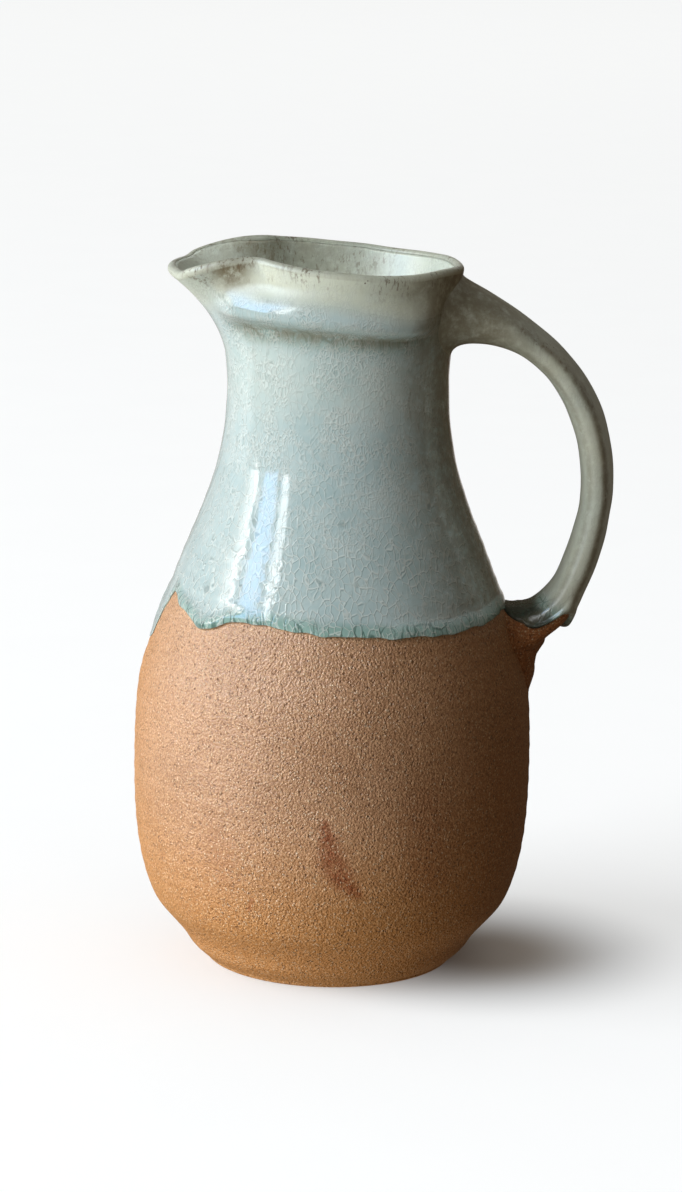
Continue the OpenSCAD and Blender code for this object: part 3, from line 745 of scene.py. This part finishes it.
def handle_skin(s, b, out):
    """The strap's face and, beyond LOWER_FILLET_S, its fillet down to the body."""
    s, out = (np.broadcast_to(np.asarray(value, float), b.shape) for value in (s, out))
    left = np.clip((2.0 - s) / (2.0 - LOWER_FILLET_S), 0, 1)
    straight = strap_point(np.minimum(s, LOWER_FILLET_S), b, out)
    curved = lower_fillet(b, out, out - COAT_FOOT_SUNK, left)
    return np.where((s < LOWER_FILLET_S)[..., None], straight, curved)


# Ends of the handle's clay: how far they are drawn in and sunk
ROOT_CAP_IN, ROOT_CAP_SUNK, ROOT_SUNK = 9.0, 0.8, 1.0
HEEL_CAP_IN, HEEL_CAP_SUNK = 4.0, 2.5


def make_handle_clay(material):
    b = STRAP_B
    rings = [seat_on_collar(strap_point(0.0, b, -ROOT_CAP_IN), -ROOT_CAP_SUNK),
             seat_on_collar(strap_point(0.0, b, 0.0), -ROOT_SUNK)]
    rings += [strap_point(s, b, 0.0) for s in np.linspace(0.02, LOWER_FILLET_S, 130)[:-1]]
    rings += [lower_fillet(b, 0.0, -CLAY_FOOT_SUNK, t) for t in np.linspace(1, 0, 12)]
    rings.append(seat_on_body(strap_point(2.0, b, -HEEL_CAP_IN), -HEEL_CAP_SUNK))
    # The strap lies on the side away from the window and takes its painted shade in full
    looks = {"flash": 0.1, "burn": 0.45, "painted_shade_side": 1.0}
    piece = grid_object("handle_clay", rings, material, looks, closed=False)
    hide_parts("handle_strap")
    return piece


# Where the handle's coat ends: angle from the strap's outer side, and place along it
COAT_END = [(0, 1.72), (18, 1.69), (32, 1.64), (44, 1.62), (58, 1.62), (76, 1.63), (88, 1.68), (95, 1.79),
            (104, 1.85), (118, 1.90), (143, 1.96), (180, 2.0)]
# The coat's rounded end and bead, in millimetres from that end, and the hook on the strap's outer side
END_ROUND, END_SUNK = 1.6, 0.25
BEAD_T, BEAD_H, BEAD_W, BEAD_ANGLES = 0.9, 2.2, 2.6, (95, 135)
HOOK_T, HOOK_SPREAD, HOOK_S, HOOK_W = 0.8, 30, 1.70, 0.05
# Stain along the strap's edges, and on its outer face away from the window partly stain and partly painted
# shade: strength, angle from the outer side, half width
EDGE_STAIN, STRAP_STAINS_AND_SHADE = 0.15, [(0.55, 62, 14), (0.4, 118, 14), (0.2, 0, 50)]
# Warm glaze at the strap's root, painted shade in the rust colour there below the collar, and where along the
# strap that shade fades
ROOT_WARM, ROOT_PAINTED_SHADE, ROOT_PAINTED_SHADE_RUN = 0.85, 0.75, (0.08, 0.5)


def make_handle_coat(material):
    b = STRAP_B
    from_outer = np.abs(wrap(b))
    end = np.interp(from_outer, *np.array(COAT_END).T)
    end = sum(np.roll(end, k) for k in (-1, 0, 1)) / 3
    strap_stain_and_shade = EDGE_STAIN + sum(size * bell(from_outer, at, width) for size, at, width in STRAP_STAINS_AND_SHADE)
    coat = CoatRows()
    # The fillet under the collar takes the root's painted shade
    for t in np.linspace(0, 1, 14)[:-1]:
        coat.add(upper_fillet(b, GLAZE_T, t), warm=ROOT_WARM, stain_and_shade=ROOT_PAINTED_SHADE)
    for share in 1 - (1 - np.linspace(0, 1, 190)) ** 1.5:
        s = lerp(UPPER_FILLET_S, end, share)
        left = (end - s) * LOWER_RUN
        round_off = np.sqrt(np.clip(1 - (1 - np.clip(left / END_ROUND, 0, 1)) ** 2, 0, 1))
        hook = HOOK_T * bell(from_outer, 0, HOOK_SPREAD) * bell(s, HOOK_S, HOOK_W)
        bead = BEAD_T * bell(left, BEAD_H, BEAD_W) * (1 - smooth(*BEAD_ANGLES, from_outer))
        out = (GLAZE_T + hook + bead) * round_off - END_SUNK * (1 - round_off)
        # Real stain along the strap's edges, painted shade on its outer face and at its root
        coat.add(handle_skin(s, b, out),
                 pool_and_shade=smooth(1.57, 1.69, s) + smooth(1.61, 1.74, s),
                 warm=0.95 * (1 - smooth(1.55, 1.72, s)),
                 stain_and_shade=most(strap_stain_and_shade, ROOT_PAINTED_SHADE * (1 - smooth(*ROOT_PAINTED_SHADE_RUN, s))),
                 rim=0.7 * bell(from_outer, 58, 22) * (1 - smooth(1.5, 1.6, s)))
    for share in np.linspace(1, 0, 40):
        coat.add(handle_skin(lerp(0.04, end - 0.03, share), b, -SUNK))
    coat.add(seat_on_collar(strap_point(0.0, b, -SUNK), -ROOT_SUNK))
    piece = coat.piece("handle_coat", material, "outer_glaze")
    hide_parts("handle_glaze")
    return piece


# Outline of the pressed tail: height, how far it stands off the belly, half width
TAIL = [(130.0, 13.5, 12.5), (126.0, 12.6, 13.5), (121.7, 10.3, 13.8), (117.4, 6.6, 12.8), (113.6, 4.4, 11.6),
        (109.0, 3.0, 10.2), (106.5, 2.0, 8.8), (104.5, 0.9, 7.2), (101.5, 0.1, 4.5)]
TAIL_ROUND, TAIL_SUNK = 1.3, 2.0
DENTS, DENT_EDGE, DENT_FULL = [(0.25, math.tau * 1.9, 3, 0.0)], 0.2, 4


def make_tail(material):
    heights, depths, widths = np.array(TAIL)[::-1].T
    turn = np.arange(0, 360, 5.0)
    cos_t, sin_t = cos_sin(turn)
    rings = []
    for z in np.linspace(heights[-1], heights[0], 60):
        depth, width = np.interp(z, heights, depths), np.interp(z, heights, widths)
        out = np.where(cos_t > 0, depth * np.abs(cos_t) ** TAIL_ROUND, TAIL_SUNK * cos_t)
        dents = groove(turn, z, DENTS) * (cos_t > DENT_EDGE)
        ring = stack(0.0, width * sin_t, z)
        rings.append(seat_on_body(ring, out + dents * min(depth / DENT_FULL, 1)))
    # The tail lies on the side away from the window and takes its painted shade in full
    looks = {"flash": 0.05, "burn": 0.55, "painted_shade_side": 1.0}
    piece = grid_object("tail_clay", rings, material, looks, closed=False)
    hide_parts("handle_tail")
    return piece


# Materials

CLAY_DEEP, CLAY_PALE = (0.47, 0.258, 0.138), (0.56, 0.322, 0.185)
CLAY_STREAK, CLAY_OCHRE = (0.37, 0.175, 0.075), (0.56, 0.25, 0.063)
CLAY_FLASH, CLAY_PAINTED_SHADE, CLAY_BURNT = (0.68, 0.32, 0.11), (0.43, 0.17, 0.043), (0.26, 0.055, 0.017)
GRIT_PALE, GRIT_DARK = (0.80, 0.53, 0.30), (0.19, 0.088, 0.04)
PIT, GRAIN, IRON = (0.15, 0.07, 0.032), (0.86, 0.67, 0.46), (0.07, 0.03, 0.015)
GLAZE_GREY, GLAZE_PALE = (0.38, 0.52, 0.55), (0.465, 0.595, 0.62)
GLAZE_BUFF, GLAZE_MILKY = (0.64, 0.69, 0.57), (0.66, 0.70, 0.66)
GLAZE_POOLED_AND_SHADE, GLAZE_DARK = (0.20, 0.375, 0.325), (0.03, 0.05, 0.043)
POOL_CRACK = (0.035, 0.09, 0.075)
THREAD_LIT, THREAD_SHADE = (0.80, 0.86, 0.84), (0.13, 0.17, 0.165)
RUST_AND_SHADE, SPECK, PINHOLE = (0.205, 0.182, 0.118), (0.13, 0.09, 0.045), (0.09, 0.055, 0.03)
HIDDEN_DARK, HIDDEN_PALE = (0.36, 0.18, 0.09), (0.50, 0.28, 0.15)
# Crackle: heights where it turns from broad to close, size and depth of its bends, offset of its shade
CRACKLE_LOW, CRACKLE_HIGH = 150.0 * MM, 215.0 * MM
BEND_SIZE, BEND, CRACKLE_SHADE = 7, 3.4 * MM, (-0.34, 0.0, 0.16)
GRAIN_SHIFT = (31.3, 17.1, 9.7)


class Shader:
    """A node material in the making; methods that add a node return its output socket."""

    def __init__(self, name):
        self.material = bpy.data.materials.new(name)
        self.material.use_nodes = True
        self.tree = self.material.node_tree
        self.surface = self.tree.nodes["Principled BSDF"]
        self.place = self.add("TexCoord", output="Object")

    def add(self, kind, output=0, inputs=None, **settings):
        node = self.tree.nodes.new("ShaderNode" + kind)
        for key, value in settings.items():
            setattr(node, key, value)
        for key, value in (inputs or {}).items():
            self.put(node.inputs[key], value)
        return node.outputs[output]

    def put(self, socket, value):
        if isinstance(value, bpy.types.NodeSocket):
            self.tree.links.new(value, socket)
        else:
            socket.default_value = (*value, 1.0) if socket.type == "RGBA" else value

    def math(self, operation, a, b):
        return self.add("Math", inputs={0: a, 1: b}, operation=operation)

    def times(self, a, b):
        return self.math("MULTIPLY", a, b)

    def plus(self, a, b):
        return self.math("ADD", a, b)

    def total(self, first, *others):
        """Sum of sockets that come with their weights."""
        result = self.times(*first)
        for other in others:
            result = self.plus(result, self.times(*other))
        return result

    def ramp(self, value, low, high, to_low=0.0, to_high=1.0):
        inputs = {"Value": value, "From Min": low, "From Max": high, "To Min": to_low, "To Max": to_high}
        return self.add("MapRange", inputs=inputs, interpolation_type="SMOOTHSTEP")

    def mix(self, share, a, b):
        return self.add("Mix", 2, {0: share, 6: a, 7: b}, data_type="RGBA")

    def stretched(self, place, x, y, z):
        return self.add("VectorMath", inputs={0: place, 1: (x, y, z)}, operation="MULTIPLY")

    def moved(self, place, x, y, z):
        """The place moved by millimetres."""
        return self.add("VectorMath", inputs={0: place, 1: (x * MM, y * MM, z * MM)}, operation="ADD")

    def noise(self, size, detail=2.0, roughness=0.5, place=None, output=0):
        """Noise with features of about size millimetres."""
        inputs = {"Vector": place or self.place, "Scale": 1.0 / (size * MM), "Detail": detail,
                  "Roughness": roughness}
        return self.add("TexNoise", output, inputs)

    def cells(self, size, feature="F1", output="Distance", place=None):
        """Cells of about size millimetres."""
        inputs = {"Vector": place or self.place, "Scale": 1.0 / (size * MM)}
        return self.add("TexVoronoi", output, inputs, feature=feature)

    def cracks(self, size, place, low, high):
        """Lines between cells of about size millimetres."""
        return self.ramp(self.cells(size, "DISTANCE_TO_EDGE", place=place), low, high)

    def tag(self, name):
        return self.add("Attribute", "Fac", attribute_name=name)

    def bump(self, height, depth, normal=None):
        """Bump of depth millimetres."""
        inputs = {"Height": height, "Distance": depth * MM, "Strength": 1.0}
        if normal:
            inputs["Normal"] = normal
        return self.add("Bump", inputs=inputs)

    def finish(self, **inputs):
        for key, value in inputs.items():
            self.put(self.surface.inputs[key.replace("_", " ")], value)
        return self.material


def clay_material():
    m = Shader("stoneware_clay")
    cloud = m.noise(38, 3.0, 0.55)
    streak = m.noise(14, 4.0, 0.6, m.stretched(m.place, 1.0, 1.0, 3.5))
    colour = m.mix(m.ramp(cloud, 0.3, 0.7), CLAY_DEEP, CLAY_PALE)
    colour = m.mix(m.times(m.ramp(streak, 0.45, 0.75), 0.3), colour, CLAY_STREAK)
    # The last tint is painted shade on the side away from the window
    tints = [("ochre", 0.85, CLAY_OCHRE), ("flash", 0.7, CLAY_FLASH), ("painted_shade_side", 0.9, CLAY_PAINTED_SHADE)]
    for look, share, tint in tints:
        colour = m.mix(m.times(m.tag(look), share), colour, tint)
    burn = m.times(m.tag("burn"), m.ramp(m.noise(2.4, 4.0, 0.75), 0.30, 0.60, 0.4, 1.0))
    colour = m.mix(m.times(burn, 0.85), colour, CLAY_BURNT)

    # Sand and grog in the surface
    grit = m.noise(0.85, 2.0, 0.6)
    fine = m.noise(0.6, 2.0, 0.6)
    dots = m.cells(0.85)
    bare = m.math("SUBTRACT", 1.0, m.times(burn, 0.75))
    pale = m.math("MAXIMUM", m.ramp(grit, 0.50, 0.68, 0.0, 0.55), m.ramp(dots, 0.34, 0.10, 0.0, 0.5))
    colour = m.mix(m.times(pale, bare), colour, GRIT_PALE)
    colour = m.mix(m.ramp(grit, 0.47, 0.33, 0.0, 0.48), colour, GRIT_DARK)
    pits = m.times(m.ramp(m.cells(1.5), 0.36, 0.16), m.ramp(m.noise(2.4, 1.0), 0.46, 0.58))
    colour = m.mix(m.times(pits, 0.6), colour, PIT)
    shifted = m.moved(m.place, *GRAIN_SHIFT)
    chosen = m.ramp(m.cells(1.25, output="Color", place=shifted), 0.45, 0.62)
    grains = m.times(m.ramp(m.cells(1.25, place=shifted), 0.36, 0.16), chosen)
    colour = m.mix(m.times(grains, 0.7), colour, GRAIN)
    iron = m.ramp(m.cells(8.5), 0.06, 0.03)
    colour = m.mix(m.times(iron, 0.6), colour, IRON)

    relief = m.total((grit, 0.6), (fine, 0.3), (dots, -0.5), (grains, 0.35), (pits, -0.4))
    lines = m.noise(1.6, 2.0, 0.5, m.stretched(m.place, 0.06, 0.06, 1.0))
    normal = m.bump(lines, 0.05, m.bump(relief, 0.55))
    rough = m.ramp(fine, 0.3, 0.7, 0.42, 0.6)
    shine = m.ramp(burn, 0.0, 1.0, 0.8, 0.25)
    return m.finish(Base_Color=colour, Roughness=rough, Normal=normal, Specular_IOR_Level=shine)


def glaze_material():
    m = Shader("celadon_glaze")
    pool_and_shade, warm = m.tag("pool_and_shade"), m.tag("warm")
    pooled_and_shaded = m.math("MINIMUM", pool_and_shade, 1.0)
    high = m.add("SeparateXYZ", "Z", {0: m.place})
    cloud = m.noise(22, 3.0, 0.55)
    mottle = m.noise(3.0, 3.0, 0.6)
    colour = m.mix(m.ramp(cloud, 0.32, 0.68), GLAZE_GREY, GLAZE_PALE)
    colour = m.mix(m.times(warm, m.ramp(cloud, 0.25, 0.75, 0.75, 1.0)), colour, GLAZE_BUFF)
    colour = m.mix(m.ramp(mottle, 0.4, 0.8, 0.0, 0.25), colour, GLAZE_MILKY)
    # Sea green where the glaze pools, also laying part of the painted shade under the ledge
    sea_green = m.times(pooled_and_shaded, m.ramp(mottle, 0.2, 0.8, 0.7, 1.0))
    colour = m.mix(m.times(sea_green, 0.85), colour, GLAZE_POOLED_AND_SHADE)

    # Crackle: raised threads with a lit and a shaded side, wide below and narrow above
    warp = m.stretched(m.noise(BEND_SIZE, output="Color"), BEND, BEND, BEND)
    bent = m.add("VectorMath", inputs={0: m.place, 1: warp}, operation="ADD")
    upright = m.stretched(bent, 1.0, 1.0, 0.5)
    broad_share = m.ramp(high, CRACKLE_HIGH, CRACKLE_LOW, 0.5, 1.0)
    broad_share = m.times(broad_share, m.ramp(m.noise(4.5), 0.30, 0.50))
    close_share = m.ramp(high, CRACKLE_LOW, CRACKLE_HIGH, 0.35, 0.9)
    close_share = m.times(close_share, m.ramp(m.noise(9), 0.38, 0.58))
    dry = m.math("SUBTRACT", 1.0, m.times(warm, 0.75))

    def threads(place):
        broad = m.times(m.cracks(2.35, place, 0.085, 0.015), broad_share)
        close = m.times(m.cracks(1.3, place, 0.14, 0.03), close_share)
        return m.times(m.math("MAXIMUM", broad, close), dry)

    crackle = threads(upright)
    colour = m.mix(m.times(threads(m.moved(upright, *CRACKLE_SHADE)), 0.5), colour, THREAD_SHADE)
    colour = m.mix(m.times(crackle, 0.46), colour, THREAD_LIT)
    colour = m.mix(m.ramp(pool_and_shade, 1.0, 2.0), colour, GLAZE_DARK)
    deep = m.times(m.cracks(4.4, m.stretched(bent, 1.0, 1.0, 0.16), 0.065, 0.0), pooled_and_shaded)
    colour = m.mix(m.times(deep, 0.7), colour, POOL_CRACK)

    # Rust where the glaze is stained, the same colour laid as painted shade under the ledge, on the side away
    # from the window and on the strap, specks along the rim, and pinholes
    rust_and_shade = m.times(m.tag("stain_and_shade"), m.ramp(m.noise(4, 4.0, 0.7), 0.15, 0.62))
    colour = m.mix(m.math("MINIMUM", rust_and_shade, 1.0), colour, RUST_AND_SHADE)
    streaks = m.noise(1.4, 3.0, 0.7, m.stretched(m.place, 1.0, 1.0, 0.35))
    specks = m.times(m.ramp(streaks, 0.51, 0.62), m.ramp(m.noise(13), 0.40, 0.58, 0.15, 1.0))
    colour = m.mix(m.times(m.times(specks, m.tag("rim")), 0.8), colour, SPECK)
    holes = m.times(m.ramp(m.cells(4.6), 0.085, 0.05), m.ramp(m.noise(20, 1.0), 0.54, 0.62))
    colour = m.mix(m.times(holes, m.plus(m.times(warm, 0.8), 0.1)), colour, PINHOLE)

    relief = m.total((m.noise(0.8), 0.18), (crackle, 0.3), (deep, -0.8))
    rough = m.plus(m.ramp(mottle, 0.3, 0.7, 0.03, 0.06), m.times(warm, 0.36))
    rough = m.plus(rough, m.ramp(pool_and_shade, 1.0, 2.0, 0.0, 0.22))
    return m.finish(Base_Color=colour, Roughness=rough, Normal=m.bump(relief, 0.07), IOR=1.5)


def hidden_clay_material():
    m = Shader("collar_clay")
    colour = m.mix(m.ramp(m.noise(1.1, 3.0, 0.6), 0.35, 0.65), HIDDEN_DARK, HIDDEN_PALE)
    return m.finish(Base_Color=colour, Roughness=0.85, Normal=m.bump(m.noise(0.9, 3.0), 0.3))


# Stage, light and camera, in metres; angles of light are degrees from the camera's side and above the level

CAMERA_PLACE = Vector((0.00245, -1.3964, 0.4507))
CAMERA_PITCH, CAMERA_ROLL = 0.22045, math.radians(1.05)
LENS, SENSOR_H = 115.95, 36.0
AIM = Vector((0.0, 0.0, 0.17))
WINDOW_FAR, BOUNCE_FAR, BACK_FAR = 4.0, 3.0, 2.0
# Panes seen in reflections: azimuths, elevations, colour, radiance
PANES = [
    ((-97.0, -91.5), (5, 47), (1.0, 0.97, 0.94), 3.0),
    ((-91.5, -86.0), (5, 47), (1.0, 0.97, 0.94), 7.0),
    ((-86.0, -80.5), (5, 47), (1.0, 0.98, 0.95), 13.0),
    ((-74.4, -58.0), (9, 48), (0.36, 0.62, 1.0), 10.0),
    ((-53.5, -45.6), (11, 50), (0.94, 0.98, 1.0), 13.0)]
# Pale surroundings that only the outer coat mirrors, in the same terms
SHEETS = [
    ((-118.0, -98.0), (-30, 55), (0.93, 0.98, 1.0), 2.0),
    ((-138.0, -118.0), (-35, 55), (0.93, 0.98, 1.0), 1.2),
    ((-158.0, -138.0), (-40, 50), (0.94, 0.99, 1.0), 0.75),
    ((-179.0, -158.0), (-45, 50), (0.95, 1.0, 1.0), 0.45),
    ((164.0, 178.0), (-40, 45), (1.0, 0.97, 0.93), 0.5)]
WINDOW_AZIMUTHS = (PANES[0][0][0], PANES[-1][0][1])
OVERHEAD_H, OVERHEAD_ENERGY, OVERHEAD_ANGLE = 4, 1.85, math.radians(150)
SKY, SKY_STRENGTH = (1.0, 0.72, 0.46), 0.09
# The floor: its radius, and its painted shadow, a darker colour and a weaker glow, by distance from a place
# beside the jug's axis on the side away from the window
FLOOR_R, PAINTED_SHADOW_PLACE = 30.0, (0.06, 0.0, 0.0)
PAINTED_SHADOW_EDGE, GLOW_SHADOW_EDGE = (0.01, 0.055), (0.012, 0.085)
GLOW_FAR, GLOW_STRENGTH = (0.5, 5.0), (0.457, 0.565)
FLOOR_DARK, FLOOR_PALE = (0.495, 0.505, 0.515), (0.50, 0.51, 0.52)
FLOOR_PAINTED_SHADOW, FLOOR_GLOW = (0.36, 0.33, 0.295), (0.98, 1.0, 1.0)


def add_light(name, kind, place, aim, receivers, **settings):
    """A light that falls on the receivers alone."""
    data = bpy.data.lights.new(name, kind)
    for key, value in settings.items():
        setattr(data, key, value)
    light = new_object(name, data)
    light.location = place
    light.rotation_euler = (aim - place).to_track_quat("-Z", "Y").to_euler()
    group = bpy.data.collections.new(name + "_receivers")
    for receiver in receivers:
        group.objects.link(receiver)
    light.light_linking.receiver_collection = group
    return light


def add_panel(name, azimuths, elevations, colour, radiance, receivers, far=WINDOW_FAR):
    """A soft rectangle of light of the given radiance, seen from the jug between these angles."""
    (left, right), (low, high) = np.radians(azimuths), np.radians(elevations)
    azimuth, elevation = (left + right) / 2, (low + high) / 2
    flat = math.cos(elevation)
    way = Vector((math.sin(azimuth) * flat, -math.cos(azimuth) * flat, math.sin(elevation)))
    width, height = 2 * far * flat * math.tan((right - left) / 2), 2 * far * math.tan((high - low) / 2)
    return add_light(name, "AREA", AIM + way * far, AIM, receivers, shape="RECTANGLE", size=width,
                     size_y=height, color=colour, energy=radiance * width * height * math.pi)


def add_mirrored(*panel):
    """A panel that the receivers only mirror."""
    add_panel(*panel).visible_diffuse = False


def add_fill(*panel, through=False):
    """A panel that lights the receivers and isn't mirrored in them; it may shine through all else."""
    light = add_panel(*panel)
    light.visible_glossy = False
    if through:
        light.light_linking.blocker_collection = light.light_linking.receiver_collection


def make_lights(pieces, floor):
    coats = [piece for piece in pieces if piece.name.endswith("_coat")]
    liner, outer, handle = ([coat] for coat in coats)
    clays = [piece for piece in pieces if piece not in coats]
    others = [piece for piece in pieces if piece not in outer]
    for k, pane in enumerate(PANES):
        add_mirrored("pane_%d" % k, *pane, coats)
    add_mirrored("sheen", (-94, -62), (10, 48), (0.95, 0.97, 1.0), 13.0, clays)
    for k, sheet in enumerate(SHEETS):
        add_mirrored("sheet_%d" % k, *sheet, outer)
    add_fill("window", WINDOW_AZIMUTHS, (8, 50), (0.94, 0.97, 1.0), 5.2, others + [floor])
    add_fill("coat_key", (-84, -10), (14, 54), (0.96, 0.99, 1.0), 3.2, outer)
    add_fill("coat_bounce", (-100, -22), (-50, -3), (0.97, 1.0, 1.0), 0.9, outer, BOUNCE_FAR, through=True)
    add_fill("mouth_fill", (-60, 80), (30, 75), (1.0, 1.0, 0.98), 0.55, liner)
    add_light("overhead", "SUN", Vector((0, 0, OVERHEAD_H)), Vector((0, 0, 0)), [floor],
              energy=OVERHEAD_ENERGY, angle=OVERHEAD_ANGLE)
    add_fill("back_fill", (170, 190), (10, 45), (1.0, 0.98, 0.96), 3.0, pieces, BACK_FAR)
    add_fill("front_fill", (-75, -10), (0, 50), (1.0, 0.99, 0.97), 0.70, others)
    add_fill("table_bounce", (-110, -30), (-55, -5), (1.0, 0.95, 0.88), 2.1, pieces, BOUNCE_FAR, through=True)
    add_fill("handle_side", (95, 150), (-15, 45), (0.86, 0.94, 1.0), 0.5, handle, BOUNCE_FAR)


def floor_material():
    m = Shader("pale_floor")
    grain = m.ramp(m.noise(60), 0.3, 0.7)
    far = m.add("VectorMath", "Value", {0: m.stretched(m.place, 1.0, 1.0, 0.0)}, operation="LENGTH")
    beside = m.add("VectorMath", "Value", {0: m.place, 1: PAINTED_SHADOW_PLACE}, operation="DISTANCE")
    # Painted shadow beside the jug: the glow fades and the colour darkens near that place
    glow = m.times(m.ramp(far, *GLOW_FAR, *GLOW_STRENGTH), m.ramp(beside, *GLOW_SHADOW_EDGE))
    colour = m.mix(m.ramp(beside, *PAINTED_SHADOW_EDGE), FLOOR_PAINTED_SHADOW, m.mix(grain, FLOOR_DARK, FLOOR_PALE))
    return m.finish(Base_Color=colour, Roughness=0.9, Specular_IOR_Level=0.0,
                    Emission_Color=FLOOR_GLOW, Emission_Strength=glow)


def make_floor():
    corners = around(FLOOR_R, np.arange(0, 360, 5), 0.0)
    mesh = bpy.data.meshes.new("floor")
    mesh.from_pydata(corners, [], [list(range(len(corners)))])
    mesh.materials.append(floor_material())
    disc = new_object("floor", mesh)
    disc.visible_diffuse = False
    disc.visible_glossy = False
    return disc


def make_world():
    world = bpy.data.worlds.new("studio")
    world.use_nodes = True
    sky = world.node_tree.nodes["Background"]
    sky.inputs["Color"].default_value = (*SKY, 1.0)
    sky.inputs["Strength"].default_value = SKY_STRENGTH
    bpy.context.scene.world = world
    bpy.context.scene.view_settings.view_transform = "Standard"


def make_camera():
    camera = new_object("camera", bpy.data.cameras.new("camera"))
    camera.data.sensor_fit = "VERTICAL"
    camera.data.sensor_height, camera.data.lens = SENSOR_H, LENS
    tilt = Euler((math.pi / 2 - CAMERA_PITCH, 0, 0)).to_matrix()
    turn = tilt @ Matrix.Rotation(CAMERA_ROLL, 3, "Z")
    camera.matrix_world = Matrix.Translation(CAMERA_PLACE) @ turn.to_4x4()
    bpy.context.scene.camera = camera


clay = clay_material()
glaze = glaze_material()
pieces = [make_clay_body(clay), make_liner(glaze), make_collar_clay(hidden_clay_material()), make_coat(glaze),
          make_handle_clay(clay), make_handle_coat(glaze), make_tail(clay)]
make_lights(pieces, make_floor())
make_world()
make_camera()
